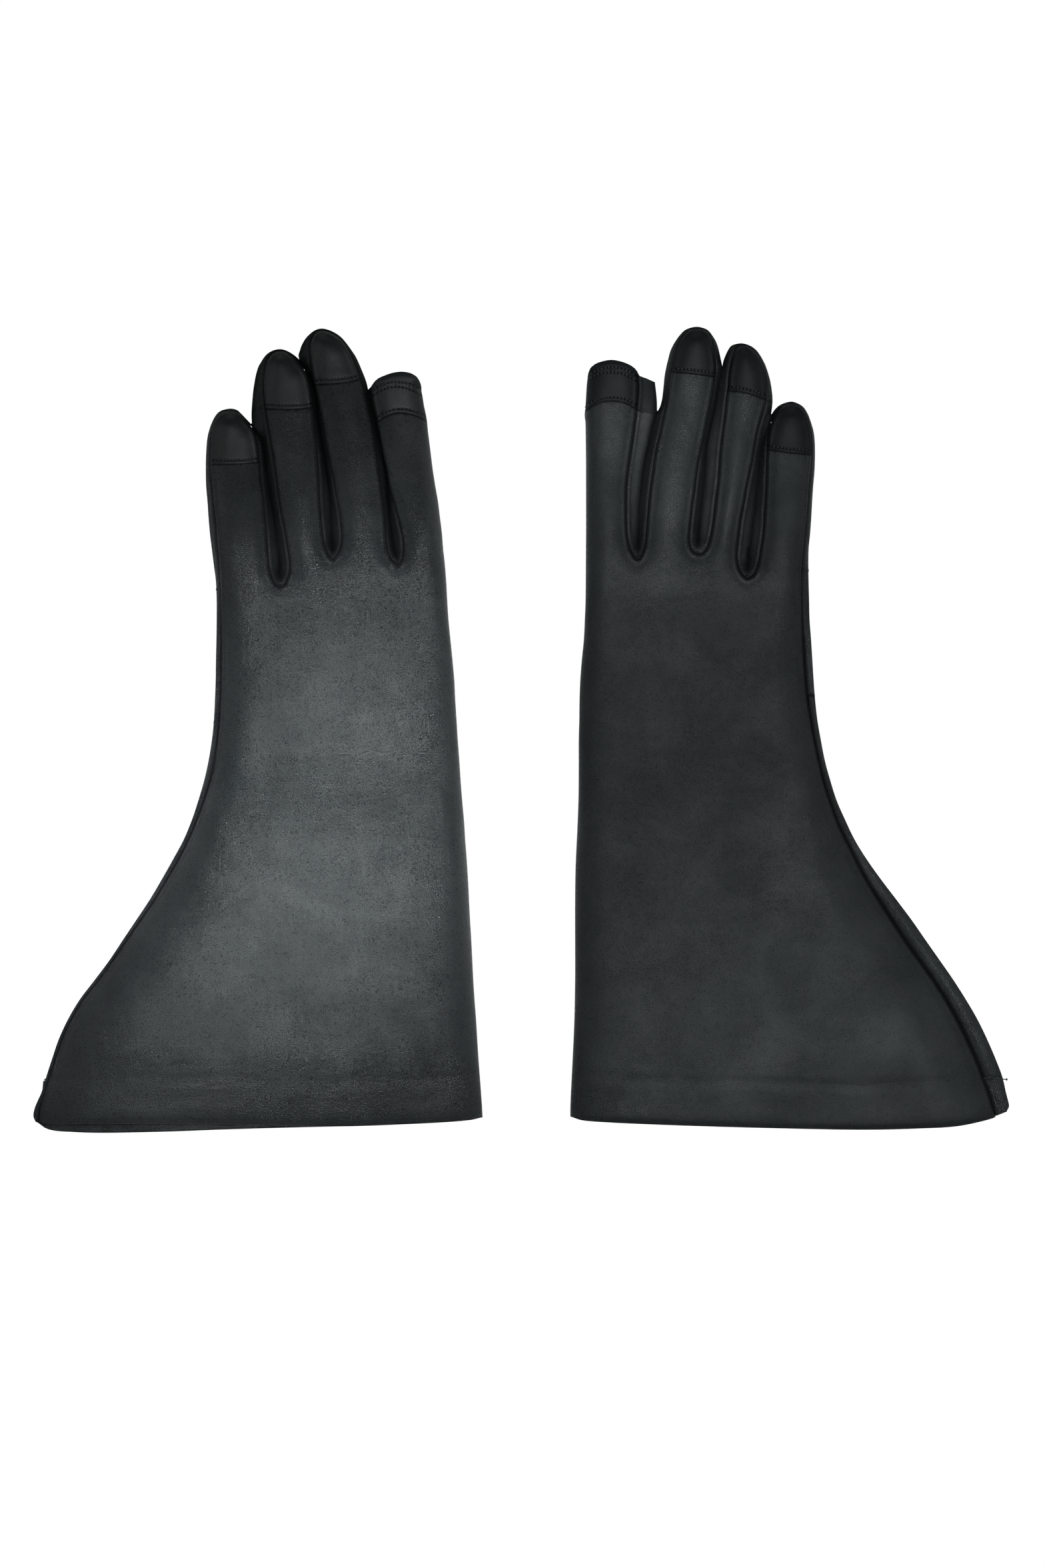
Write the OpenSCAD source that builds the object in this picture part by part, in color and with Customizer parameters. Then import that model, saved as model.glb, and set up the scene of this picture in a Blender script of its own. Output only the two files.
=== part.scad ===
// Pair of leather gauntlet gloves, lying palm down with the thumbs folded under.
// Millimetres. +X along the pair, +Y to the fingertips, +Z up off the table.
// The origin is under the middle of the pair, on the table.

/* [Leather] */
// Thickness of the leather
leather = 0.9; // [0.7:0.1:1.0]
// Width of the cuff hem that is turned in
hem_w = 16; // [10:1:20]
// Gap left between two panels that a seam joins
seam_gap = 0.12; // [0.1:0.02:0.2]

/* [Heights] */
// Height of an empty finger above its own palm side
finger_h = 10.5; // [9.5:0.5:11]
// Height of the hand above the palm leather
hand_h = 9.5; // [9:0.5:10.5]
// Height of the gauntlet at its middle
gauntlet_h = 12; // [10:0.5:13]
// Height of the folded thumb
thumb_h = 6.6; // [6:0.1:6.6]

/* [Thumb] */
// Length of the thumb from its pivot to its tip
thumb_len = 50; // [46:1:52]
// Width of the flat thumb
thumb_w = 24; // [22:1:25]
// Radius of the thumb hole in the palm
thumb_hole_r = 8; // [6:1:8.5]

/* [Stitching] */
// Distance between two stitches
stitch_pitch = 1.9; // [1.6:0.1:2.4]
// Length of one stitch
stitch_len = 1.2; // [0.8:0.1:1.3]

/* [Movement] */
// Gap between two leather pieces that move against each other
run_gap = 0.3; // [0.3:0.05:0.5]

/* [Hidden] */
t = leather;
rise = thumb_h + 0.3;        // the hand lies this high on the thumb
edge = 0.8;                  // exponent of the rounded sections
fin_n = 8;                   // steps across a finger
hand_n = 14;                 // steps across the hand
t_in = 2.6;                  // from a finger's side to its back seam
z_seam = 7.2;                // height of a finger's back seams
z_edge = 4.4;                // height of the hand's pinky seam

// One row per place along the piece: [y, left side, right side].
// Both gloves are written with the little finger at the lower x; the right one is mirrored.
// Fingers: 0 pinky, 1 ring, 2 middle, 3 index.
// [rows, tip y, tip x, seam of the tip piece y, open end, pivot y]
left_fingers = [
 [[[57, -121, -96], [66, -122.5, -96.2], [81, -124, -98.2], [97, -125, -100], [109, -125.5, -102], [114, -125.5, -103.5]], 127.5, -116, 106, false, 64],
 [[[57, -95.2, -75], [68, -95.5, -75.2], [81, -97.6, -76], [97, -99.4, -77.2], [111, -101.8, -79], [123, -104.5, -81], [137, -106.5, -85.2]], 151.2, -96.5, 128, false, 72],
 [[[65, -74.4, -49.5], [72, -74.6, -51], [83, -75.3, -53], [97, -76.4, -54.5], [111, -78.2, -56.5], [123, -80.2, -58.8], [134, -82.2, -61.5], [145, -85.2, -64.5]], 159.5, -80.5, 138, false, 75],
 [[[65, -48.7, -30.4], [72, -50, -31], [83, -52, -32.2], [97, -53.6, -34], [111, -55.5, -36.2], [123, -57.8, -37.8], [136, -60.8, -40]], 138, -50, 122, true, 74]];
right_fingers = [
 [[[57, -114.5, -90.2], [70, -114.5, -90.4], [83, -115.3, -92.5], [97, -116.3, -94], [110, -117, -95.5], [117, -116.8, -98]], 130, -108, 110, false, 67],
 [[[60, -89.7, -70.8], [70, -89.8, -71], [83, -91.8, -71.7], [97, -93.3, -73], [110, -94.9, -74.4], [123, -97.4, -76.6], [132, -99.8, -78.5], [139, -99.8, -80.5]], 153.5, -88, 133, false, 74],
 [[[68, -70, -47], [83, -70.9, -47.4], [97, -72.3, -48.8], [112, -73.9, -51.2], [123, -76, -53.3], [132, -77.8, -55.8], [144, -80, -57.5]], 160.5, -70.5, 141, false, 77],
 [[[67, -46.2, -25.7], [83, -46.7, -25.7], [97, -48.2, -25.7], [112, -50.4, -25.7], [128, -54, -25.3], [141, -55, -26.5]], 143.5, -39, 128, true, 76]];

// Hand and gauntlet: [y, little-finger side, index side, width of the palm strip seen outside the seam]
left_hand = [[68, -121, -30.2, 1.5], [56, -121, -29.7, 1.5], [36, -121.5, -28.4, 2], [12, -122, -26.2, 2.4], [4, -122.5, -25.7, 2.5],
 [-4, -122.5, -25.2, 2.5], [-12, -124.3, -24.6, 2.3], [-28, -128.5, -23.6, 2], [-44, -134.6, -22.4, 1.6], [-60, -143.4, -21.2, 1.5],
 [-76, -153.5, -20.3, 1.5], [-92, -164, -19.4, 1.5], [-108, -176.2, -18.5, 1.5], [-124, -184.6, -17.5, 1.5], [-140, -190.2, -16.3, 1.5], [-151, -193.6, -15.5, 1.5], [-161, -194.5, -15.4, 1.5]];
right_hand = [[70, -114.5, -25.7, 3.5], [56, -114.5, -25.6, 3.5], [36, -115.3, -24.9, 3.5], [12, -117, -23.1, 3.5], [4, -117.5, -23, 2.5],
 [-4, -119.5, -22.8, 2], [-12, -121.2, -22.8, 2], [-28, -125.6, -22.7, 2.2], [-44, -133, -22, 3], [-60, -143.6, -21.6, 5.5],
 [-76, -155.8, -21.5, 7.5], [-92, -166.4, -21.5, 8], [-108, -177.4, -21.3, 8], [-124, -185.9, -20.8, 8], [-140, -192.7, -20, 8.5], [-151, -194.5, -19.7, 7], [-161, -193.5, -19.6, 5]];

// Line where the hand ends and the fingers begin: [x, y]
left_knuckles = [[-126, 56], [-97, 56.5], [-90, 62.5], [-80, 64.5], [-74, 66.5], [-62, 67.5], [-50, 65.5], [-40, 66.5], [-28, 66.5]];
right_knuckles = [[-118, 59], [-91, 60], [-85, 65], [-76, 67.5], [-70, 69], [-58, 70], [-47, 68], [-36, 68.5], [-24, 68]];

// [fingers, hand, knuckles, wrist y, thumb pivot, thumb lean, y where the fingers start to come down, cuff y of the back, cuff y of the palm]
LG = [left_fingers, left_hand, left_knuckles, 2.5, [-51.5, 17], 40, 70, -157.5, -160.5];
RG = [right_fingers, right_hand, right_knuckles, 13, [-47, 27], 45, 76, -158, -158.8];

function mix(a, b, k) = a + (b - a) * k;
function ease(k) = let (c = min(1, max(0, k))) c * c * (3 - 2 * c);
function col(tab, c) = [for (r = tab) [r[0], r[c]]];
// How high the leather lies: up over the thumb, down to the cuff and to the fingertips.
function lift_hand(g, y) = rise * ease((y + 55) / (g[3] + 48));
function lift_fin(g, f, y) = rise * (1 - ease((y - g[6]) / (f[1] - 14 - g[6])));

// A rounded arch of n steps from one foot to the other.
function arch(xl, zl, xr, zr, h, n) = [for (i = [0 : n]) let (a = 180 - 180 * i / n, c = cos(a), s = max(0, sin(a)), b = mix(zl, zr, i / n))
    [mix(xl, xr, 0.5 + 0.5 * sign(c) * pow(abs(c), edge)), b + (h - b) * pow(s, edge)]];

// Moves each point of a section across itself, to the left of its run.
function shifted(row, d) = [for (i = [0 : len(row) - 1]) let (a = row[max(0, i - 1)], b = row[min(len(row) - 1, i + 1)],
    v = [b[0] - a[0], b[2] - a[2]], l = norm(v)) row[i] + d * [-v[1], 0, v[0]] / l];

// A closed sheet between two matching grids of points.
module sheet(up, low) {
    n = len(up); m = len(up[0]); o = n * m;
    function q(a, b, c, d) = [[a, b, c], [a, c, d]];
    polyhedron(points = concat([for (r = up) each r], [for (r = low) each r]), faces = concat(
        [for (i = [0 : n - 2], j = [0 : m - 2], f = q(i*m+j, (i+1)*m+j, (i+1)*m+j+1, i*m+j+1)) f],
        [for (i = [0 : n - 2], j = [0 : m - 2], f = q(o+i*m+j, o+i*m+j+1, o+(i+1)*m+j+1, o+(i+1)*m+j)) f],
        [for (i = [0 : n - 2], f = q(i*m, o+i*m, o+(i+1)*m, (i+1)*m)) f],
        [for (i = [0 : n - 2], f = q(i*m+m-1, (i+1)*m+m-1, o+(i+1)*m+m-1, o+i*m+m-1)) f],
        [for (j = [0 : m - 2], f = q(j, j+1, o+j+1, o+j)) f],
        [for (j = [0 : m - 2], f = q((n-1)*m+j, o+(n-1)*m+j, o+(n-1)*m+j+1, (n-1)*m+j+1)) f]), convexity = 6);
}
module leather_on(rows) sheet(rows, [for (r = rows) shifted(r, -t)]);      // outside given, leather below it
module leather_in(rows) sheet([for (r = rows) shifted(r, t)], rows);       // outside given, leather above it

// ---- fingers ----
// Place a along a finger: up to 1 it is the straight part, beyond it the rounded tip in degrees.
function f_side(f, y, c) = lookup(y, col(f[0], c));
function f_top(f) = f[0][len(f[0]) - 1][0];
// [xl, xr, y, narrowing] in the rounded tip, k shrinks it by the leather for the inside
function f_dome(f, a, k) = let (s = f_top(f), w = max(0.14, pow(max(0, cos(a)), 0.75)), yt = f[1] - 1.3 * k)
    [mix(f[2], f_side(f, s, 1) + k, w), mix(f[2], f_side(f, s, 2) - k, w), mix(s, yt, sin(a)), w];
function z_dome(a) = t + 0.2 + (z_seam - t - 0.2) * max(0, 1 - a / 62);

// Sections of a finger at y, before the knuckle line and the lift are applied: [x, z] pairs
function s_back(i, xl, xr, k) = i == 3
    ? concat(arch(xl + t_in * k, z_seam * k, xr, 4.4, finger_h, fin_n), [[xr - 0.6, 2.6], [xr - 2.4, t + 0.15]])
    : arch(xl + (i == 0 ? 1.8 : t_in) * k, z_seam * k, xr - t_in * k, z_seam * k, finger_h, fin_n);
function s_left(xl, zt, k) = [[xl + t_in * k, zt - seam_gap], [xl + 0.5 * k, mix(t, zt, 0.72)], [xl, mix(t, zt, 0.45)], [xl + 0.6 * k, mix(t, zt, 0.2)], [xl + 2.0 * k, t + 0.15]];
function s_front(i, xl, xr, zt, k) = concat(
    i == 0 ? [[xl + 1.8 * k, zt - seam_gap], [xl + 0.2 * k, mix(0, zt, 0.7)], [xl, mix(0, zt, 0.4)], [xl + 0.7 * k, mix(0, zt, 0.12)], [xl + 2.4 * k, 0]] : [[xl + 2.2 * k, 0], [mix(xl, xr, 0.3), 0]],
    [[mix(xl, xr, 0.6), 0], [xr - 2.2 * k, 0]]);
function mirrored(s, x) = [for (i = [len(s) - 1 : -1 : 0]) [2 * x - s[i][0], s[i][1]]];

// Puts a section at y on the finger; the first one follows the knuckle line.
function f_put(g, i, s, y, first = false) = let (f = g[0][i]) [for (p = s) let (yy = first ? max(lookup(p[0], g[2]) + run_gap * 2, y) : max(y, lookup(p[0], g[2]) + run_gap * 2 + 3)) [p[0], yy, p[1] + lift_fin(g, f, yy)]];
function f_ys(f, a, b) = concat([a], [for (r = f[0]) if (r[0] > a + 4 && r[0] < b - 4) r[0]], [b]);
// Rows of the straight part between y values a and b; kind 0 back, 1 left side, 2 right side, 3 front
function f_sec(i, f, y, kind) = let (xl = f_side(f, y, 1), xr = f_side(f, y, 2))
    kind == 0 ? s_back(i, xl, xr, 1) : kind == 1 ? s_left(xl, z_seam, 1) : kind == 2 ? mirrored(s_left(0, z_seam, 1), xr / 2) : s_front(i, xl, xr, z_seam, 1);
function f_rows(g, i, a, b, kind) = let (f = g[0][i], ys = f_ys(f, a, b))
    [for (n = [0 : len(ys) - 1]) f_put(g, i, f_sec(i, f, n == 0 && a < 70 ? ys[1] - 6 : ys[n], kind), ys[n], n == 0 && a < 70)];
// Rows of the rounded tip
function f_tip(g, i, angles, kind, k = 0) = let (f = g[0][i]) [for (a = angles) let (d = f_dome(f, a, k), w = d[3], zt = z_dome(a), c = max(0, 1 - a / 62),
    h = mix(t + 0.2, finger_h - k, pow(max(0, cos(a)), 0.6)),
    s = kind == 0 ? arch(d[0] + (i == 0 ? 1.8 : t_in) * c, zt, d[1] - t_in * c, zt, max(h, zt), fin_n)
      : kind == 1 ? s_left(d[0], zt, w) : kind == 2 ? mirrored(s_left(0, zt, w), d[1] / 2) : kind == 4 ? s_front(9, d[0] + 1.2 * w, d[1] - 1.2 * w, zt, w) : i == 0 ? s_front(0, d[0], d[1], zt, w) : s_front(i, d[0] + 1.2 * w, d[1] - 1.2 * w, zt, w))
    [for (p = s) [p[0], d[2], p[1] + lift_fin(g, f, d[2])]]];

module finger_back(g, i) { f = g[0][i]; leather_on(f_rows(g, i, 50, f[3], 0)); }
module finger_tip(g, i) {
    f = g[0][i];
    if (f[4]) leather_on(f_rows(g, i, f[3] + seam_gap, f[1], 0));
    else {
        yy = f_ys(f, f[3] + seam_gap, f_top(f));
        st = [for (n = [0 : len(yy) - 2]) f_put(g, i, f_sec(i, f, yy[n], 0), yy[n])];
        sheet(concat(st, f_tip(g, i, [0, 24, 42, 56, 68, 79, 90], 0)),
              concat([for (r = st) shifted(r, -t)], f_tip(g, i, [0, 24, 42, 56, 68, 79, 90], 0, t)));
    }
}
module finger_side(g, i, kind) {
    f = g[0][i];
    leather_in(f[4] ? f_rows(g, i, 50, f[1], kind) : concat(f_rows(g, i, 50, f_top(f) - 0.5, kind), f_tip(g, i, [20, 40, 52], kind)));
}
module finger_front(g, i) {
    f = g[0][i];
    if (f[4]) leather_in(f_rows(g, i, 50, f[1], 3));
    else if (i == 0) {
        leather_in(concat(f_rows(g, 0, 50, f_top(f) - 0.5, 3), f_tip(g, 0, [20, 40, 52], 3)));
        leather_in(f_tip(g, 0, [54, 68, 81], 4));
    }
    else leather_in(concat(f_rows(g, i, 50, f_top(f) - 0.5, 3), f_tip(g, i, [14, 30, 45, 58, 70, 81], 3)));
}
// A row of stitches across the back of a finger at y
module stitch_row(g, i, y) {
    f = g[0][i]; s = f_sec(i, f, y, 0); xl = s[1][0]; xr = s[fin_n - 1][0]; tab = [for (p = s) if (p[1] > 5) p];
    n = floor((xr - xl) / stitch_pitch);
    for (k = [0 : n]) {
        x = xl + (xr - xl - n * stitch_pitch) / 2 + k * stitch_pitch;
        z = lookup(x, tab); dz = lookup(x + 0.5, tab) - lookup(x - 0.5, tab);
        translate([x, y, z + lift_fin(g, f, y) + 0.05]) rotate([0, -atan(dz), 0]) cube([stitch_len, 0.5, 0.4], center = true);
    }
}
module finger_stitches(g, i) { f = g[0][i]; if (f[4]) { stitch_row(g, i, f[3] + 1.9); stitch_row(g, i, f[1] - 5); stitch_row(g, i, f[1] - 2.3); } else stitch_row(g, i, f[3] + 1.9); }

// ---- hand and gauntlet ----
function h_side(g, y, c) = lookup(y, col(g[1], c));
function h_back(g, y, h) = let (xl = h_side(g, y, 1), xr = h_side(g, y, 2), w = h_side(g, y, 3))
    concat(arch(xl + w, z_edge, xr, z_edge, h, hand_n), [[xr - 0.6, 2.6], [xr - 2.4, t + 0.15]]);
function h_palm(g, y) = let (xl = h_side(g, y, 1), xr = h_side(g, y, 2), w = h_side(g, y, 3))
    concat([[xl + w, z_edge - seam_gap], [xl + w * 0.4, z_edge - 0.5 - w * 0.05], [xl, 2.5], [xl + 0.6, 0.9], [xl + 2.2, 0]],
    [for (k = [0.12, 0.26, 0.5, 0.74, 0.9]) [mix(xl, xr, k), 0]], [[xr - 2.2, 0]]);
function put(g, s, y, bend = 0, knuckle = false) = [for (p = s) let (yy = knuckle ? lookup(p[0], g[2]) : y + bend * max(0, p[1] - 0.45)) [p[0], yy, p[1] + lift_hand(g, yy)]];

// The end rows at the wrist lean away from each other, so that the hand can also bend back.
lean = 0.24;
module hand_back_panel(g) {
    w = g[3];
    leather_on([put(g, h_back(g, w + 1, hand_h), w + run_gap, lean), put(g, h_back(g, w + 8, hand_h), w + 9), put(g, h_back(g, 26, hand_h), w + 24),
        put(g, h_back(g, 42, hand_h), w + 38), put(g, h_back(g, 54, hand_h), 54), put(g, h_back(g, 58, mix(hand_h, finger_h, 0.6)), 58, 0, true)]);
}
module palm_panel(g) {
    w = g[3];
    difference() {
        leather_in([put(g, h_palm(g, w + 1), w + run_gap, lean), put(g, h_palm(g, w + 8), w + 9), put(g, h_palm(g, 42), 42), put(g, h_palm(g, 54), 54), put(g, h_palm(g, 58), 58, 0, true)]);
        translate([g[4][0], g[4][1], rise - 2]) cylinder(r = thumb_hole_r, h = 5, $fn = 48);
    }
}
gaunt_ys = [-140, -124, -108, -92, -76, -60, -44, -28, -14];
module gauntlet_back_panel(g) {
    w = g[3]; c = g[7];
    function hh(y) = mix(gauntlet_h, hand_h, ease((y + 70) / 70));
    leather_on(concat([put(g, h_back(g, c, gauntlet_h - 1), c)], [for (y = gaunt_ys) put(g, h_back(g, y, hh(y)), y)], [put(g, h_back(g, w - 8, hand_h), w - 8)], [put(g, h_back(g, w - 1, hand_h), w - run_gap, -lean)]));
    // the turned-in hem, a second layer inside the cuff edge
    leather_on([for (y = [c + 0.5, c + hem_w / 2, c + hem_w]) [for (p = put(g, arch(h_side(g, y, 1) + h_side(g, y, 3) + t + 1, z_edge + 0.3, h_side(g, y, 2) - t - 1, z_edge, mix(gauntlet_h - 1, gauntlet_h, (y - c) / hem_w) - t - 0.5, hand_n), y)) p]]);
}
module gauntlet_palm_panel(g) {
    w = g[3]; c = g[8];
    leather_in(concat([put(g, h_palm(g, c), c)], [for (y = gaunt_ys) put(g, h_palm(g, y), y)], [put(g, h_palm(g, w - 8), w - 8)], [put(g, h_palm(g, w - 1), w - run_gap, -lean)]));
    // the turned-in hem of the palm side
    leather_in([for (y = [c + 0.5, c + hem_w / 2, c + hem_w]) [for (k = [0.03, 0.25, 0.5, 0.75, 0.97]) [mix(h_side(g, y, 1), h_side(g, y, 2), k), y, t - 0.05 + lift_hand(g, y)]]]);
}
// A few turns of thread that hold the side seam at the cuff
module tack(g, y) {
    x = h_side(g, y, 1) + h_side(g, y, 3);
    for (k = [-1 : 1]) translate([x, y + k * 0.9, z_edge + 0.45]) cube([3.2, 0.4, 0.4], center = true);
}

// ---- thumb ----
// A flat tube from the pivot to the tip, drawn along +Y; rows [y, half width]
thumb_rows = [[-12, 0.45], [-8, 0.8], [-2, 1], [10, 1], [26, 0.94], [38, 0.86], [44, 0.7], [48, 0.45], [thumb_len, 0.2]];
function th_half(up, k) = [for (r = thumb_rows) let (w = r[1] * thumb_w / 2 - k, yy = r[0] < -10 ? r[0] + k : r[0] > 49 ? r[0] - k : r[0],
    h = (r[1] > 0.6 ? 1 : r[1] > 0.4 ? 0.8 : 0.62) * thumb_h / 2 - k) [for (a = [0 : 22.5 : 180]) [-w * sign(cos(a)) * pow(abs(cos(a)), 0.8), yy, thumb_h / 2 + (up ? 1 : -1) * (0.06 + (h - 0.06) * pow(max(0, sin(a)), 0.35))]]];
module thumb_place(g) translate([g[4][0], g[4][1], 0]) rotate([0, 0, g[5]]) children();
module thumb_upper(g) thumb_place(g) difference() { sheet(th_half(true, 0), th_half(true, t)); translate([0, 0, thumb_h / 2]) cylinder(r = thumb_hole_r, h = 5, $fn = 48); }
module thumb_lower(g) thumb_place(g) sheet(th_half(false, t), th_half(false, 0));

black = [0.16, 0.17, 0.18]; dark = [0.12, 0.13, 0.14]; thread = [0.08, 0.08, 0.09];
module L() children();
module R() mirror([1, 0, 0]) children();

module left_gauntlet_back() { color(black) L() gauntlet_back_panel(LG); }
module left_gauntlet_palm() { color(black) L() gauntlet_palm_panel(LG); }
module left_cuff_tack() { color(thread) L() tack(LG, -139); }
module left_hand_back() { color(black) L() hand_back_panel(LG); }
module left_palm() { color(black) L() palm_panel(LG); }
module left_thumb_top() { color(black) L() thumb_upper(LG); }
module left_thumb_underside() { color(black) L() thumb_lower(LG); }
module left_pinky_back() { color(black) L() finger_back(LG, 0); }
module left_pinky_tip() { color(dark) L() finger_tip(LG, 0); }
module left_pinky_front() { color(black) L() finger_front(LG, 0); }
module left_pinky_stitching() { color(thread) L() finger_stitches(LG, 0); }
module left_ring_back() { color(black) L() finger_back(LG, 1); }
module left_ring_tip() { color(dark) L() finger_tip(LG, 1); }
module left_ring_front() { color(black) L() finger_front(LG, 1); }
module left_ring_stitching() { color(thread) L() finger_stitches(LG, 1); }
module left_middle_back() { color(black) L() finger_back(LG, 2); }
module left_middle_tip() { color(dark) L() finger_tip(LG, 2); }
module left_middle_front() { color(black) L() finger_front(LG, 2); }
module left_middle_stitching() { color(thread) L() finger_stitches(LG, 2); }
module left_index_back() { color(black) L() finger_back(LG, 3); }
module left_index_end_band() { color(dark) L() finger_tip(LG, 3); }
module left_index_front() { color(black) L() finger_front(LG, 3); }
module left_index_stitching() { color(thread) L() finger_stitches(LG, 3); }
module left_pinky_fourchette() { color(black) L() finger_side(LG, 0, 2); }
module left_ring_fourchette_outer() { color(black) L() finger_side(LG, 1, 1); }
module left_ring_fourchette_inner() { color(black) L() finger_side(LG, 1, 2); }
module left_middle_fourchette_outer() { color(black) L() finger_side(LG, 2, 1); }
module left_middle_fourchette_inner() { color(black) L() finger_side(LG, 2, 2); }
module left_index_fourchette() { color(black) L() finger_side(LG, 3, 1); }
module right_gauntlet_back() { color(black) R() gauntlet_back_panel(RG); }
module right_gauntlet_palm() { color(black) R() gauntlet_palm_panel(RG); }
module right_cuff_tack() { color(thread) R() tack(RG, -139); }
module right_hand_back() { color(black) R() hand_back_panel(RG); }
module right_palm() { color(black) R() palm_panel(RG); }
module right_thumb_top() { color(black) R() thumb_upper(RG); }
module right_thumb_underside() { color(black) R() thumb_lower(RG); }
module right_pinky_back() { color(black) R() finger_back(RG, 0); }
module right_pinky_tip() { color(dark) R() finger_tip(RG, 0); }
module right_pinky_front() { color(black) R() finger_front(RG, 0); }
module right_pinky_stitching() { color(thread) R() finger_stitches(RG, 0); }
module right_ring_back() { color(black) R() finger_back(RG, 1); }
module right_ring_tip() { color(dark) R() finger_tip(RG, 1); }
module right_ring_front() { color(black) R() finger_front(RG, 1); }
module right_ring_stitching() { color(thread) R() finger_stitches(RG, 1); }
module right_middle_back() { color(black) R() finger_back(RG, 2); }
module right_middle_tip() { color(dark) R() finger_tip(RG, 2); }
module right_middle_front() { color(black) R() finger_front(RG, 2); }
module right_middle_stitching() { color(thread) R() finger_stitches(RG, 2); }
module right_index_back() { color(black) R() finger_back(RG, 3); }
module right_index_end_band() { color(dark) R() finger_tip(RG, 3); }
module right_index_front() { color(black) R() finger_front(RG, 3); }
module right_index_stitching() { color(thread) R() finger_stitches(RG, 3); }
module right_pinky_fourchette() { color(black) R() finger_side(RG, 0, 2); }
module right_ring_fourchette_outer() { color(black) R() finger_side(RG, 1, 1); }
module right_ring_fourchette_inner() { color(black) R() finger_side(RG, 1, 2); }
module right_middle_fourchette_outer() { color(black) R() finger_side(RG, 2, 1); }
module right_middle_fourchette_inner() { color(black) R() finger_side(RG, 2, 2); }
module right_index_fourchette() { color(black) R() finger_side(RG, 3, 1); }

left_gauntlet_back();
left_gauntlet_palm();
left_cuff_tack();
left_hand_back();
left_palm();
left_thumb_top();
left_thumb_underside();
left_pinky_back();
left_pinky_tip();
left_pinky_front();
left_pinky_stitching();
left_ring_back();
left_ring_tip();
left_ring_front();
left_ring_stitching();
left_middle_back();
left_middle_tip();
left_middle_front();
left_middle_stitching();
left_index_back();
left_index_end_band();
left_index_front();
left_index_stitching();
left_pinky_fourchette();
left_ring_fourchette_outer();
left_ring_fourchette_inner();
left_middle_fourchette_outer();
left_middle_fourchette_inner();
left_index_fourchette();
right_gauntlet_back();
right_gauntlet_palm();
right_cuff_tack();
right_hand_back();
right_palm();
right_thumb_top();
right_thumb_underside();
right_pinky_back();
right_pinky_tip();
right_pinky_front();
right_pinky_stitching();
right_ring_back();
right_ring_tip();
right_ring_front();
right_ring_stitching();
right_middle_back();
right_middle_tip();
right_middle_front();
right_middle_stitching();
right_index_back();
right_index_end_band();
right_index_front();
right_index_stitching();
right_pinky_fourchette();
right_ring_fourchette_outer();
right_ring_fourchette_inner();
right_middle_fourchette_outer();
right_middle_fourchette_inner();
right_index_fourchette();
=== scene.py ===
"""A pair of black leather gauntlet gloves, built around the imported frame."""
import math

import bpy
import numpy as np
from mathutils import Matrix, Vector, kdtree
from mathutils.geometry import delaunay_2d_cdt


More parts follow.
